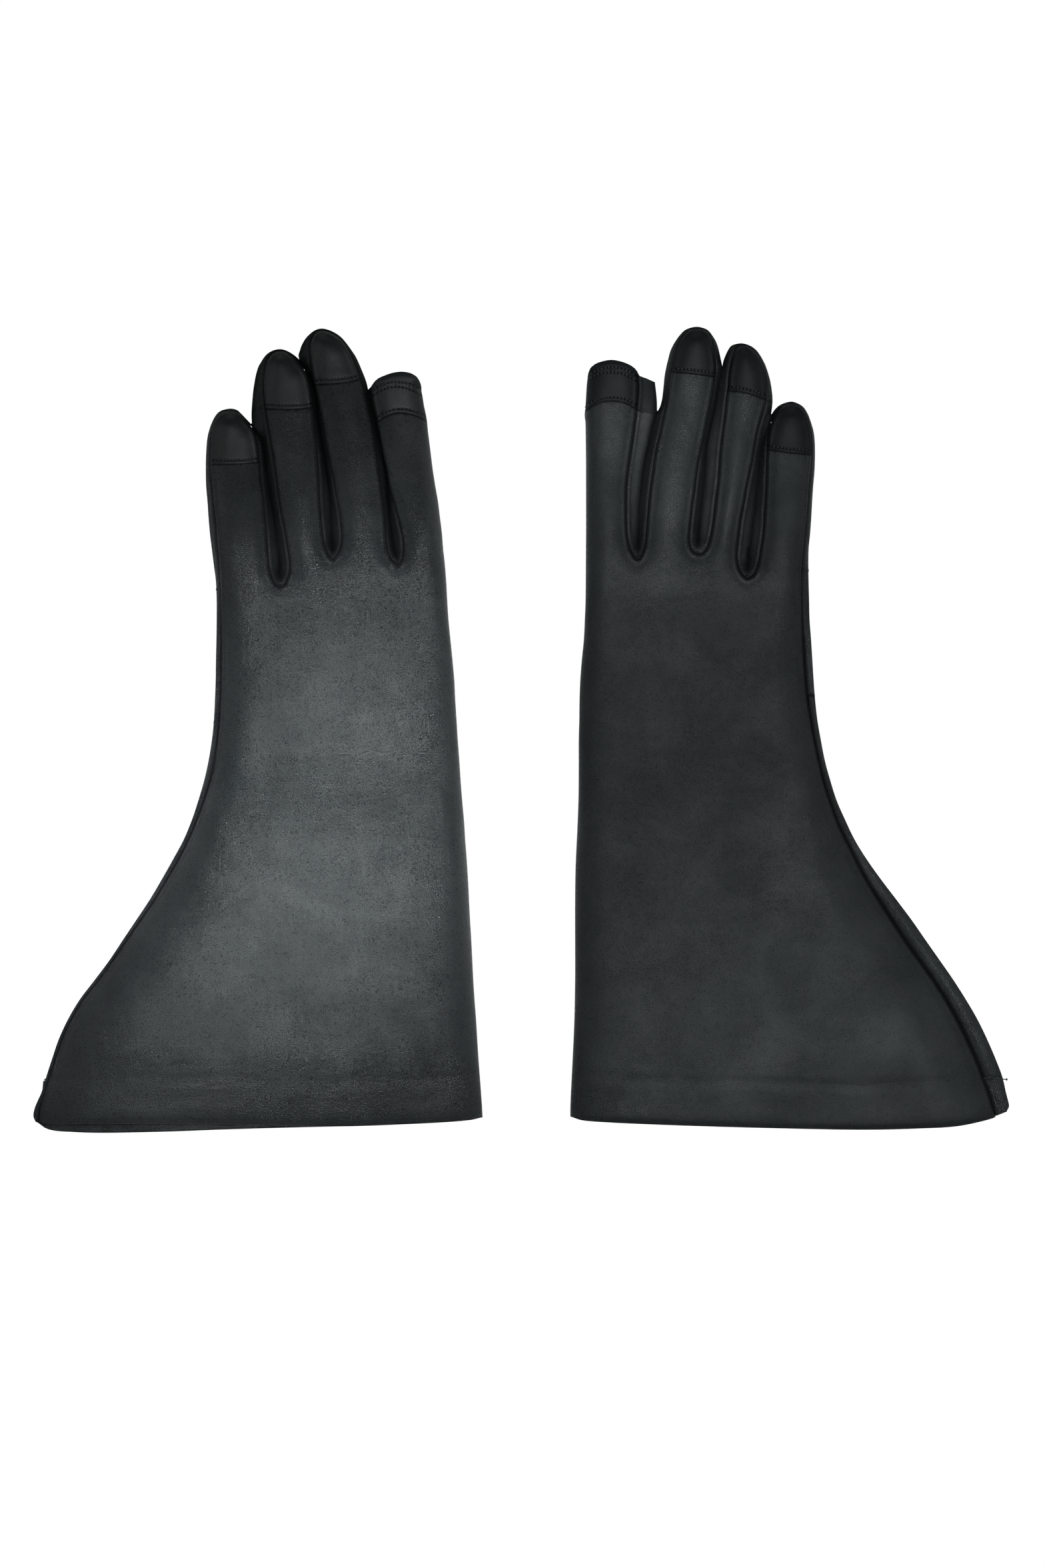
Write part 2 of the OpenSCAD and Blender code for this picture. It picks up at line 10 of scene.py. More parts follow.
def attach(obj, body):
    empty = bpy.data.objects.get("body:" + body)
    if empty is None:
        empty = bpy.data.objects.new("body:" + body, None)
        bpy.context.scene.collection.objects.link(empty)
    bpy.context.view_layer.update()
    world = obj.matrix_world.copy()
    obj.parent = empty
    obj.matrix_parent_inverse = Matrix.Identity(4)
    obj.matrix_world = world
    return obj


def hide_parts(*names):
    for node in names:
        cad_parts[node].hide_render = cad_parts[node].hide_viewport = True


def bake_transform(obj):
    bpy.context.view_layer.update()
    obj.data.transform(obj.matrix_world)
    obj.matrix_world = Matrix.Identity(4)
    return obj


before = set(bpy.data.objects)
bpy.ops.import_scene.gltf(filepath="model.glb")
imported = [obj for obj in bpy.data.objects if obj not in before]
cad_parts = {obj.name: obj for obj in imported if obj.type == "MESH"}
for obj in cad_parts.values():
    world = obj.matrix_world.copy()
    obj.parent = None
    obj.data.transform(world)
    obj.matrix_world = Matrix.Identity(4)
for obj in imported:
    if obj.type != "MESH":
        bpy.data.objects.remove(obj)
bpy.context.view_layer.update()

# --------------------------------------------------------------------------
# Outlines in plan, millimetres in the row frame.
#   s_*   the outline of the lying glove (free edges)     f0.. the folds between two fingers
#   end   the open end of the index finger                cuff_* the cuff edge of the back and of the palm
#   t_*   the seams round the back panel                  cap_* the seams of the fingertip pieces
# --------------------------------------------------------------------------
LEFT = {
    's_pinky': [(-193.7, -156), (-194.5, -154.1), (-194, -150.9), (-192.7, -147.7), (-191.3, -144.6), (-189.7, -139.3), (-187.1, -131.3), (-184.4, -123.4), (-180.7, -115.4), (-176, -107.5), (-169.9, -99.5), (-164, -91.6), (-158.7, -83.6), (-153.4, -75.7), (-148.1, -67.7), (-143.4, -59.8), (-138.9, -51.8), (-134.6, -43.9), (-131.2, -35.9), (-128.5, -28), (-126.1, -20), (-124.3, -12.1), (-123, -4.1), (-122.2, 3.8), (-121.8, 11.8), (-121.5, 19.7), (-121.4, 27.7), (-121.2, 35.6), (-121.1, 43.6), (-121.1, 51.5), (-121.4, 59), (-122.2, 65.3), (-123, 71.7), (-123.8, 78), (-124.4, 84.4), (-124.9, 90.8), (-125.5, 97.1), (-125.7, 103.5), (-125.6, 109.8), (-125.1, 116.2), (-124.3, 119.6), (-123.2, 122.6), (-121.6, 125.5), (-119.8, 127.1), (-117.9, 127.7), (-115.8, 128), (-113.4, 127.5), (-111.6, 126), (-109.7, 124), (-107.3, 121.5)],
    'f0': [(-107.3, 121.5), (-104.9, 118.3), (-102.8, 115.1), (-100.7, 103.2), (-99.4, 93.9), (-98.3, 86), (-97.5, 78), (-96.5, 68.8), (-95.8, 58.7)],
    's_ring': [(-107.3, 121.5), (-107.5, 125.7), (-107.1, 132.1), (-106.8, 135.3), (-106.3, 138.5), (-105.7, 141.6), (-104.7, 144.8), (-103.6, 146.7), (-102.6, 148.3), (-101, 150), (-98.8, 151.2), (-96.2, 151.7), (-93.8, 151.2), (-90.9, 149.6), (-88.5, 147.6)],
    'f1': [(-88.5, 147.6), (-86.4, 145.1), (-84.3, 141.1), (-82.9, 136.9), (-82.2, 133.2), (-80.3, 120.4), (-77.6, 104.5), (-76.3, 93.9), (-75.4, 78), (-74.7, 69.8)],
    's_middle': [(-88.5, 147.6), (-88.8, 149.3), (-88.2, 151.2), (-87.7, 152.8), (-86.9, 154.4), (-85.9, 156), (-84.5, 157.5), (-82.4, 159.1), (-79.8, 159.9), (-76.6, 159.3), (-73.4, 157.7), (-71.3, 156), (-69.4, 153.7), (-67.6, 151.2), (-66, 148.8), (-64.7, 146.1), (-63.6, 143.5), (-62.5, 140.8), (-61.6, 138.2), (-61, 135.5)],
    'f2': [(-61, 135.5), (-59.9, 129.7), (-58, 120.4), (-56.2, 111.2), (-54.3, 101.9), (-53.3, 93.9), (-52.2, 83.3), (-50.6, 72.7), (-49.2, 67.2)],
    'end': [(-61, 135.5), (-60.2, 135.8), (-58.8, 137.4), (-57, 139), (-54.2, 140.3), (-50.9, 141.4), (-47.2, 141.8), (-44, 141.2), (-42.1, 140.1), (-40.8, 138.5), (-40, 136.9), (-39.8, 135.3)],
    's_index': [(-39.8, 135.3), (-39.2, 132.1), (-38.7, 128.9), (-38, 125.7), (-37.5, 122.6), (-37.2, 119.4), (-36.8, 116.2), (-36, 109.8), (-35.2, 103.5), (-34.2, 97.1), (-33.1, 90.8), (-32.3, 84.4), (-31.5, 78), (-31, 71.7), (-30.3, 65.3), (-29.8, 59), (-29.4, 51.5), (-28.9, 43.6), (-28.1, 35.6), (-27.3, 27.7), (-26.6, 19.7), (-26.2, 11.8), (-25.7, 3.8), (-25.2, -4.1), (-24.6, -12.1), (-24.1, -20), (-23.5, -28), (-22.8, -35.9), (-22.3, -43.9), (-21.7, -51.8), (-21.2, -59.8), (-20.8, -67.7), (-20.4, -75.7), (-19.9, -83.6), (-19.5, -91.6), (-19.1, -99.5), (-18.6, -107.5), (-18, -115.4), (-17.5, -123.4), (-17, -131.3), (-16.4, -139.3), (-16, -144.6), (-15.6, -150.4), (-15.4, -154.4)],
    'cuff_back': [(-15.4, -154.4), (-27, -155.4), (-48.2, -156.5), (-74.7, -157.3), (-101.2, -156.7), (-127.7, -156.2), (-154.2, -156.2), (-175.4, -156.3), (-187.4, -156.5), (-193.7, -156)],
    'cuff_palm': [(-15.4, -154.4), (-37.6, -156.2), (-58.8, -157.3), (-80, -157.8), (-95.9, -158.2), (-119.5, -158.9), (-141, -159.7), (-167.5, -160.2), (-178.1, -159.9), (-188.2, -158.9), (-193.7, -156)],
    't_pinky_out': [(-115.8, 127.5), (-117.9, 127.1), (-120, 126), (-121.6, 124.2), (-122.7, 122.3), (-123.2, 120.2), (-123.6, 115.1), (-123.8, 109.8), (-123.9, 105.6), (-123.5, 101.4), (-122.8, 93.9), (-122.3, 88.6), (-121.6, 83.3), (-121, 74.9), (-120.2, 67.4), (-119.6, 56.8), (-119.5, 46.2), (-119.5, 35.6), (-119.6, 23.7), (-119.9, 11.8), (-120.3, 3.8), (-121.1, -4.1), (-122.2, -12.1), (-124, -20), (-126.5, -28), (-129.5, -35.9), (-132.9, -43.9), (-137, -51.8), (-141.6, -59.8), (-146.4, -67.7), (-151.8, -75.7), (-157.3, -83.6), (-162.7, -91.6), (-168.5, -99.5), (-174.8, -107.5), (-179.5, -115.4), (-183.2, -123.4), (-185.9, -131.3), (-188.5, -139.3), (-190.1, -144.6), (-192.1, -150.9), (-192.5, -156.7)],
    't_pinky_in': [(-115.8, 127.5), (-113.7, 126.9), (-111.8, 125.7), (-110, 123.9), (-108.4, 121.8), (-106.5, 119.1), (-105.2, 115.1), (-104.4, 109.8), (-104, 104.5), (-103.5, 99.2), (-102.8, 93.9), (-102.3, 89.4), (-101.8, 84.1), (-101.2, 78.8), (-100.7, 72.7), (-100.3, 67.4), (-99.6, 62.1), (-98.6, 59.2), (-97.3, 57.1), (-95.7, 56.2)],
    't_ring_a': [(-95.9, 151.1), (-97.8, 150.7), (-99.4, 149.5), (-101.1, 146.7), (-102.2, 142.2), (-102.6, 136.3), (-102.3, 131), (-101.9, 127.1), (-101.1, 121.8), (-100, 115.1), (-99, 109.8), (-98.2, 104.5), (-97.4, 99.2), (-96.7, 93.4), (-95.9, 88.6), (-95, 83.3), (-93.9, 78), (-93, 72.7), (-92.2, 67.4), (-92.1, 63.2), (-93, 59.5), (-94.3, 57.1), (-95.7, 56.2)],
    't_ring_b': [(-95.9, 151.1), (-94.1, 150.7), (-92.2, 149.3), (-89.8, 147.2), (-87.5, 144.8), (-85.3, 141.1), (-84, 136.3), (-83.2, 131), (-82.8, 127.9), (-82.3, 120.4), (-81.6, 115.1), (-81.1, 109.8), (-80.7, 104.5), (-80.4, 99.2), (-80.2, 93.9), (-79.8, 88.6), (-79.4, 83.3), (-78.8, 78), (-78.3, 74.1), (-77.4, 71.2), (-76.1, 68.5), (-74.7, 67.4)],
    't_middle_a': [(-79.5, 159.3), (-81.4, 158.6), (-82.7, 157), (-83.7, 154.6), (-84.3, 150.7), (-84.1, 146.9), (-83.6, 143), (-82.8, 139), (-81.9, 135.5), (-80.8, 131), (-79.9, 125.7), (-79.1, 121.8), (-78.2, 116.5), (-77.1, 110.6), (-75.9, 105.3), (-74.7, 100), (-73.7, 93.9), (-72.7, 88.6), (-71.9, 83.3), (-71.4, 78), (-71.5, 73.5), (-72.6, 70.4), (-73.7, 68.5), (-74.7, 67.4)],
    't_middle_b': [(-79.5, 159.3), (-77.1, 158.7), (-74.7, 157.5), (-71.8, 155.4), (-69.2, 152), (-67.2, 147.7), (-65.3, 143), (-63.9, 138.7), (-62.5, 134.5), (-61, 128.4), (-59.9, 123.1), (-58.8, 117.8), (-58, 112.5), (-57.2, 107.2), (-56.2, 100.6), (-55.4, 95.3), (-54.7, 90), (-54.2, 84.7), (-53.8, 79.4), (-53.4, 74.1), (-52.7, 70.1), (-51.1, 66.9), (-49, 65.1)],
    't_index': [(-60.3, 135.8), (-59.1, 129.2), (-57.2, 120.4), (-55.4, 111.2), (-53.5, 102.4), (-52.1, 94.7), (-50.9, 90.8), (-49.6, 86), (-48.5, 82), (-47.6, 78), (-46.9, 73.5), (-46.8, 69.6), (-47.6, 66.6), (-49, 65.1)],
    'cap_pinky': [(-126.1, 105.5), (-121.1, 105.3), (-114.5, 105.3), (-109.2, 105.6), (-102.3, 106.7)],
    'cap_ring': [(-104.4, 127.9), (-101.8, 127.5), (-95.9, 127.1), (-89.3, 127.2), (-83.2, 128), (-80, 128.7)],
    'cap_middle': [(-84.8, 136.6), (-81.4, 137), (-74.7, 137.3), (-68.1, 138.2), (-63.9, 139.3), (-59.9, 140.6)],
    'cap_index': [(-61.5, 120.4), (-57.8, 122), (-53.5, 124.4), (-50.4, 125.5), (-47.4, 125.7), (-44.3, 125.3), (-40.8, 124.2), (-37.4, 122.4), (-35, 121.2)],
}
RIGHT = {
    's_index': [(19.6, -154.1), (19.6, -150.9), (19.7, -147.7), (20.1, -139.3), (20.7, -127.3), (21.2, -115.4), (21.5, -99.5), (21.5, -83.6), (21.5, -67.7), (21.7, -54.5), (22.3, -41.2), (22.8, -28), (22.9, -14.7), (22.9, -4.1), (23.1, 3.8), (23.2, 11.8), (23.5, 19.7), (24.1, 27.7), (24.9, 35.6), (25.3, 43.6), (25.6, 51.5), (25.7, 65.3), (25.8, 80.7), (25.8, 93.9), (25.8, 107.2), (25.7, 117.8), (25.6, 122.6), (25.3, 125.5), (25.6, 128.4), (26, 135.3), (26.2, 137.9), (26.5, 140.6)],
    'end': [(26.5, 140.6), (27, 142.2), (28.1, 143.8), (30.2, 145.2), (33.1, 146.1), (36, 146.5), (40.5, 145.6), (44, 144), (45.7, 142.4), (46.5, 140.7), (49.8, 139.5), (53.3, 138.5)],
    's_index_in': [(53.3, 138.5), (53.7, 135.3), (54.1, 131), (54.2, 126.5)],
    'f0': [(54.2, 126.5), (52.6, 120.4), (50.9, 112.5), (49.3, 105.3), (48.2, 97.4), (47.3, 90.8), (46.8, 83.3), (46.5, 78), (46.5, 69.8)],
    's_middle': [(54.2, 126.5), (55.4, 128.9), (56.2, 132.1), (56.7, 136.3), (57.2, 141.1), (57.9, 144.8), (58.6, 147.7), (59.4, 150.7), (60.4, 153), (61.5, 154.9), (63.1, 157.1), (65.5, 159.4), (70, 160.6), (74.2, 159.4), (76.3, 157), (77.8, 154.4), (78.7, 151.7), (79.4, 148.5), (80.2, 144.8)],
    'f1': [(80.2, 144.8), (79.2, 139.5), (78.2, 133.7), (77.1, 128.4), (75.3, 120.4), (73.7, 112.5), (73, 104.5), (72.3, 96.6), (71.5, 90), (70.8, 83.3), (70.2, 78), (70.2, 71.9)],
    's_ring': [(80.2, 144.8), (80.6, 146.9), (81.4, 149.1), (82.4, 151.2), (83.7, 153), (85.9, 153.8), (88.2, 154), (91.4, 153), (93.8, 151.2), (95.7, 148.5), (97.3, 145.4), (98.6, 141.6), (99.4, 138.5), (99.9, 135.3), (100.2, 131.6), (100, 128.4), (99.5, 125.2)],
    'f2': [(99.5, 125.2), (98.1, 121), (96.5, 116.2), (95, 109.8), (94.2, 103.2), (93.4, 96.6), (92.1, 83.3), (90.8, 71.4), (89.7, 62.1)],
    's_pinky': [(99.5, 125.2), (101, 127.5), (102.8, 129.2), (104.9, 130.2), (107.8, 130.8), (110.2, 130.1), (112.4, 128.7), (114.2, 126), (115.5, 122.6), (116.5, 119.1), (117, 115.1), (117.1, 109.8), (116.9, 103.5), (116.3, 97.1), (115.8, 90.8), (115.4, 84.4), (114.9, 78), (114.3, 71.7), (114.2, 65.3), (114.3, 59), (114.5, 51.5), (114.7, 43.6), (115.3, 35.6), (115.8, 27.7), (116.3, 19.7), (116.9, 11.8), (117.8, 3.8), (119.2, -4.1), (120.8, -12.1), (123, -20), (125.6, -28), (129.1, -35.9), (133, -43.9), (137.9, -51.8), (143.6, -59.8), (149.6, -67.7), (155.6, -75.7), (161.1, -83.6), (166.7, -91.6), (172.2, -99.5), (177.3, -107.5), (181.9, -115.4), (185.8, -123.4), (189.2, -131.3), (191.9, -138.5), (193.3, -144.6), (194.1, -147.7), (194.5, -150.1), (193.5, -152.2)],
    'cuff_back': [(193.5, -152.2), (189.5, -153.8), (182.1, -155.7), (173, -157.3), (158.5, -158.1), (137.3, -158.6), (93.3, -157.8), (57.8, -156.7), (34.7, -155.7), (24.6, -155), (19.6, -154.1)],
    'cuff_palm': [(193.5, -152.2), (187.6, -153.6), (181, -155.2), (171.7, -156.7), (158.5, -157.7), (137.3, -158.2), (93.3, -157.4), (57.8, -156.3), (34.7, -155.3), (26, -154.6), (19.6, -154.1)],
    't_index': [(46.5, 140.7), (46.7, 136.3), (46.4, 131), (45.8, 124.4), (45.1, 119.1), (44.3, 113.8), (43.5, 108.5), (42.7, 103.2), (42.1, 97.9), (41.9, 92.6), (41.9, 86), (42.1, 79.4), (42.7, 74.1), (43.7, 70.6), (45.1, 68.2), (46.4, 67.3)],
    't_middle_a': [(70, 160.1), (67.6, 159.7), (65.5, 158.1), (63.3, 154.9), (61.4, 149.6), (59.8, 143.2), (58.6, 136.3), (57.6, 129.7), (56.4, 124.4), (55.3, 119.1), (53.9, 113.3), (52.9, 108), (52.1, 101.9), (51.3, 96.6), (50.5, 89.4), (50, 83.3), (49.6, 78), (48.8, 72.2), (47.7, 69), (46.4, 67.3)],
    't_middle_b': [(70, 160.1), (72.3, 159.7), (74.5, 158.1), (76.1, 154.6), (77, 149.6), (77.5, 144.3), (77.1, 139), (76.3, 133.7), (75.3, 128.4), (73.9, 121.8), (72.9, 116.5), (71.7, 111.2), (70.6, 105.9), (69.8, 100.6), (69.2, 95.3), (68.4, 90), (67.8, 84.7), (67.2, 79.4), (66.8, 75.4), (67.2, 72.5), (68.5, 70.4), (70.2, 69.6)],
    't_ring_a': [(88.2, 153.4), (86.7, 152.9), (84.9, 150.7), (83.5, 146.4), (82.6, 141.1), (82.2, 135.8), (81.5, 131), (81, 125.7), (80.3, 120.4), (79.6, 115.1), (79, 109.8), (78.6, 104.5), (78.2, 99.2), (77.5, 93.9), (76.8, 88.6), (76.2, 83.3), (75.4, 78), (74.5, 74.1), (73.3, 71.4), (71.8, 69.8), (70.2, 69.6)],
    't_ring_b': [(88.2, 153.4), (90.6, 152.6), (92.8, 150.9), (94.9, 148.1), (96.7, 144.3), (97.5, 139.5), (97.6, 135.3), (97.4, 130.8), (96.5, 126.5), (95.1, 121.8), (93.8, 116.5), (92.9, 111.2), (91.9, 105.9), (90.8, 100.6), (89.7, 95.3), (88.8, 90), (87.7, 84.7), (86.9, 79.4), (86.3, 74.1), (85.8, 68.8), (86.3, 64.8), (87.6, 61.7), (89.6, 59.8)],
    't_pinky_in': [(107.8, 130.2), (105.2, 129.6), (103.1, 128.1), (101, 125.5), (99.5, 122), (98.3, 117.3), (97.8, 111.2), (97.6, 105.9), (97.4, 99.2), (97, 92.6), (96.5, 86), (96.1, 79.4), (95.4, 74.1), (94.6, 68.8), (93.4, 63.7), (91.9, 61), (89.6, 59.8)],
    't_pinky_out': [(107.8, 130.2), (110.2, 129.5), (112.4, 127.7), (114.2, 124.2), (115.3, 119.1), (115.8, 113.8), (115.8, 108.5), (115.2, 103.2), (114.5, 96.6), (114, 90), (113.4, 83.3), (112.8, 78), (112.3, 72.7), (111.8, 67.4), (111.5, 62.1), (111.4, 56.8), (111.7, 46.2), (112.4, 33), (113.2, 21.1), (114.1, 11.8), (115.3, 3.8), (116.8, -4.4), (118.5, -12.3), (120.8, -21.6), (123.7, -30.1), (127.1, -38.8), (131.2, -47), (134.9, -54.5), (139.1, -61.9), (143.5, -69), (148.4, -76.5), (153.6, -84.4), (158.7, -91.6), (164, -99), (169.1, -106.9), (174.4, -116.2), (178.3, -124.2), (181.8, -132.1), (184.2, -138.5), (187.1, -146.7), (189.5, -155.2)],
    'cap_index': [(23.9, 126), (26.1, 126.9), (28.6, 128.7), (32.1, 130), (36, 130.4), (40, 130), (43.5, 128.7), (46.1, 127.1), (48.8, 126)],
    'cap_middle': [(56.4, 142.7), (59.1, 142.3), (65.7, 141.5), (74.7, 140.5), (79, 139.9)],
    'cap_ring': [(80, 135), (82.7, 134.6), (89.6, 133.6), (97.5, 131), (100.2, 130.2)],
    'cap_pinky': [(95.9, 111.6), (98.2, 111.2), (105.5, 110), (115.7, 109.3), (118.7, 109.3)],
}

PITCH = 1.1          # spacing of the mesh inside a panel, mm
LEATHER = 0.9
RISE = 6.9                                 # the hand lies this high on the folded thumb
H_FINGER, H_HAND, H_GAUNT = 10.5, 9.5, 12.0
Z_SEAM, Z_EDGE, Z_MID = 7.0, 4.6, 3.2

GLOVES = {
    "left": dict(
        tab=LEFT, flip=False, order=["pinky", "ring", "middle", "index"],
        edge=["s_pinky", "s_ring", "s_middle", "s_index"],
        wrist=2.5, drop=70.0, thumb=(-51.5, 17.0), lean=40.0, cross=(55.5, 2.3), rows=((-1.8, 10.5), (-2.0, 12.6)),
        tip={"pinky": 127.5, "ring": 151.2, "middle": 159.5, "index": 141.5},
        cut={"pinky": 59.5, "ring": 69.5, "middle": 70.5, "index": 68.5},
        grain=1.0),
    "right": dict(
        tab=RIGHT, flip=True, order=["index", "middle", "ring", "pinky"],
        edge=["s_index", "s_middle", "s_ring", "s_pinky"],
        wrist=13.0, drop=76.0, thumb=(47.0, 27.0), lean=-45.0, cross=(63.0, 13.1), rows=((0.0, 11.6), (0.0, 13.5)),
        tip={"pinky": 130.5, "ring": 154.0, "middle": 160.5, "index": 146.5},
        cut={"pinky": 63.5, "ring": 72.5, "middle": 73.0, "index": 71.0},
        grain=0.55),
}


# ---- curves ---------------------------------------------------------------
def smooth_line(pts, step):
    """A Catmull-Rom curve through the points, sampled every step mm."""
    p = np.array(pts, float)
    if len(p) < 3:
        dense = np.array([p[0] + (p[-1] - p[0]) * k / 20 for k in range(21)])
    else:
        q = np.vstack([2 * p[0] - p[1], p, 2 * p[-1] - p[-2]])
        out = []
        for i in range(1, len(q) - 2):
            p0, p1, p2, p3 = q[i - 1], q[i], q[i + 1], q[i + 2]
            t0 = 0.0
            t1 = t0 + max(1e-6, np.linalg.norm(p1 - p0)) ** 0.5
            t2 = t1 + max(1e-6, np.linalg.norm(p2 - p1)) ** 0.5
            t3 = t2 + max(1e-6, np.linalg.norm(p3 - p2)) ** 0.5
            for t in np.linspace(t1, t2, 13)[:-1]:
                a1 = (t1 - t) / (t1 - t0) * p0 + (t - t0) / (t1 - t0) * p1
                a2 = (t2 - t) / (t2 - t1) * p1 + (t - t1) / (t2 - t1) * p2
                a3 = (t3 - t) / (t3 - t2) * p2 + (t - t2) / (t3 - t2) * p3
                b1 = (t2 - t) / (t2 - t0) * a1 + (t - t0) / (t2 - t0) * a2
                b2 = (t3 - t) / (t3 - t1) * a2 + (t - t1) / (t3 - t1) * a3
                out.append((t2 - t) / (t2 - t1) * b1 + (t - t1) / (t2 - t1) * b2)
        out.append(p[-1])
        dense = np.array(out)
    return resample(dense, step)


def resample(dense, step):
    seg = np.linalg.norm(np.diff(dense, axis=0), axis=1)
    s = np.concatenate([[0], np.cumsum(seg)])
    n = max(2, int(round(s[-1] / step)) + 1)
    u = np.linspace(0, s[-1], n)
    return np.stack([np.interp(u, s, dense[:, k]) for k in range(dense.shape[1])], 1)


def normals2(line):
    d = np.gradient(line, axis=0)
    d /= np.maximum(1e-9, np.linalg.norm(d, axis=1))[:, None]
    return np.stack([-d[:, 1], d[:, 0]], 1)


def inside(poly, pts):
    """Even-odd test of many points against one closed polygon."""
    x, y = pts[:, 0], pts[:, 1]
    c = np.zeros(len(pts), bool)
    a, b = poly, np.roll(poly, -1, 0)
    for (x0, y0), (x1, y1) in zip(a, b):
        if y0 == y1:
            continue
        hit = (y0 > y) != (y1 > y)
        if hit.any():
            c[hit] ^= x[hit] < (x1 - x0) * (y[hit] - y0) / (y1 - y0) + x0
    return c


def ease(k):
    c = np.clip(k, 0, 1)
    return c * c * (3 - 2 * c)


def interp_y(line, y):
    """x of a line that runs mostly along y."""
    o = np.argsort(line[:, 1])
    return np.interp(y, line[o, 1], line[o, 0])


class Field:
    """Distance to a set of lines, with numbers carried along them."""

    def __init__(self, lines, step=0.2):
        pts, val = [], []
        for line, values in lines:
            line = np.asarray(line, float)
            data = np.column_stack([line] + [np.broadcast_to(v, len(line)) for v in values])
            seg = np.linalg.norm(np.diff(line, axis=0), axis=1)
            s = np.concatenate([[0], np.cumsum(seg)])
            n = max(2, int(s[-1] / step) + 1)
            u = np.linspace(0, s[-1], n)
            data = np.column_stack([np.interp(u, s, data[:, k]) for k in range(data.shape[1])] + [u])
            pts.append(data[:, :2])
            val.append(data[:, 2:])
        self.p, self.v = np.vstack(pts), np.vstack(val)
        self.kd = kdtree.KDTree(len(self.p))
        for i, q in enumerate(self.p):
            self.kd.insert((q[0], q[1], 0), i)
        self.kd.balance()

    def __call__(self, xy):
        d = np.empty(len(xy))
        idx = np.empty(len(xy), int)
        for i, q in enumerate(xy):
            _, j, r = self.kd.find((q[0], q[1], 0))
            d[i], idx[i] = r, j
        return d, self.v[idx], self.p[idx]


# ---- noise ----------------------------------------------------------------
def lattice(seed):
    return np.random.default_rng(seed).standard_normal((256, 256))


def value_noise(x, y, seed):
    g = lattice(seed)
    xi, yi = np.floor(x).astype(int), np.floor(y).astype(int)
    fx, fy = x - xi, y - yi
    fx, fy = fx ** 3 * (fx * (6 * fx - 15) + 10), fy ** 3 * (fy * (6 * fy - 15) + 10)
    a, b = xi & 255, (xi + 1) & 255
    c, d = yi & 255, (yi + 1) & 255
    return (g[a, c] * (1 - fx) + g[b, c] * fx) * (1 - fy) + (g[a, d] * (1 - fx) + g[b, d] * fx) * fy


def fbm(x, y, scale, seed, octaves=3, stretch=1.0, turn=0.0):
    c, s = math.cos(math.radians(turn)), math.sin(math.radians(turn))
    u, v = (x * c + y * s) / scale, (-x * s + y * c) / (scale * stretch)
    out, amp = np.zeros(len(x)), 1.0
    for k in range(octaves):
        out += amp * value_noise(u + 17.3 * k, v - 9.1 * k, seed + k)
        u, v, amp = u * 2.03, v * 2.03, amp * 0.5
    return out * 0.6


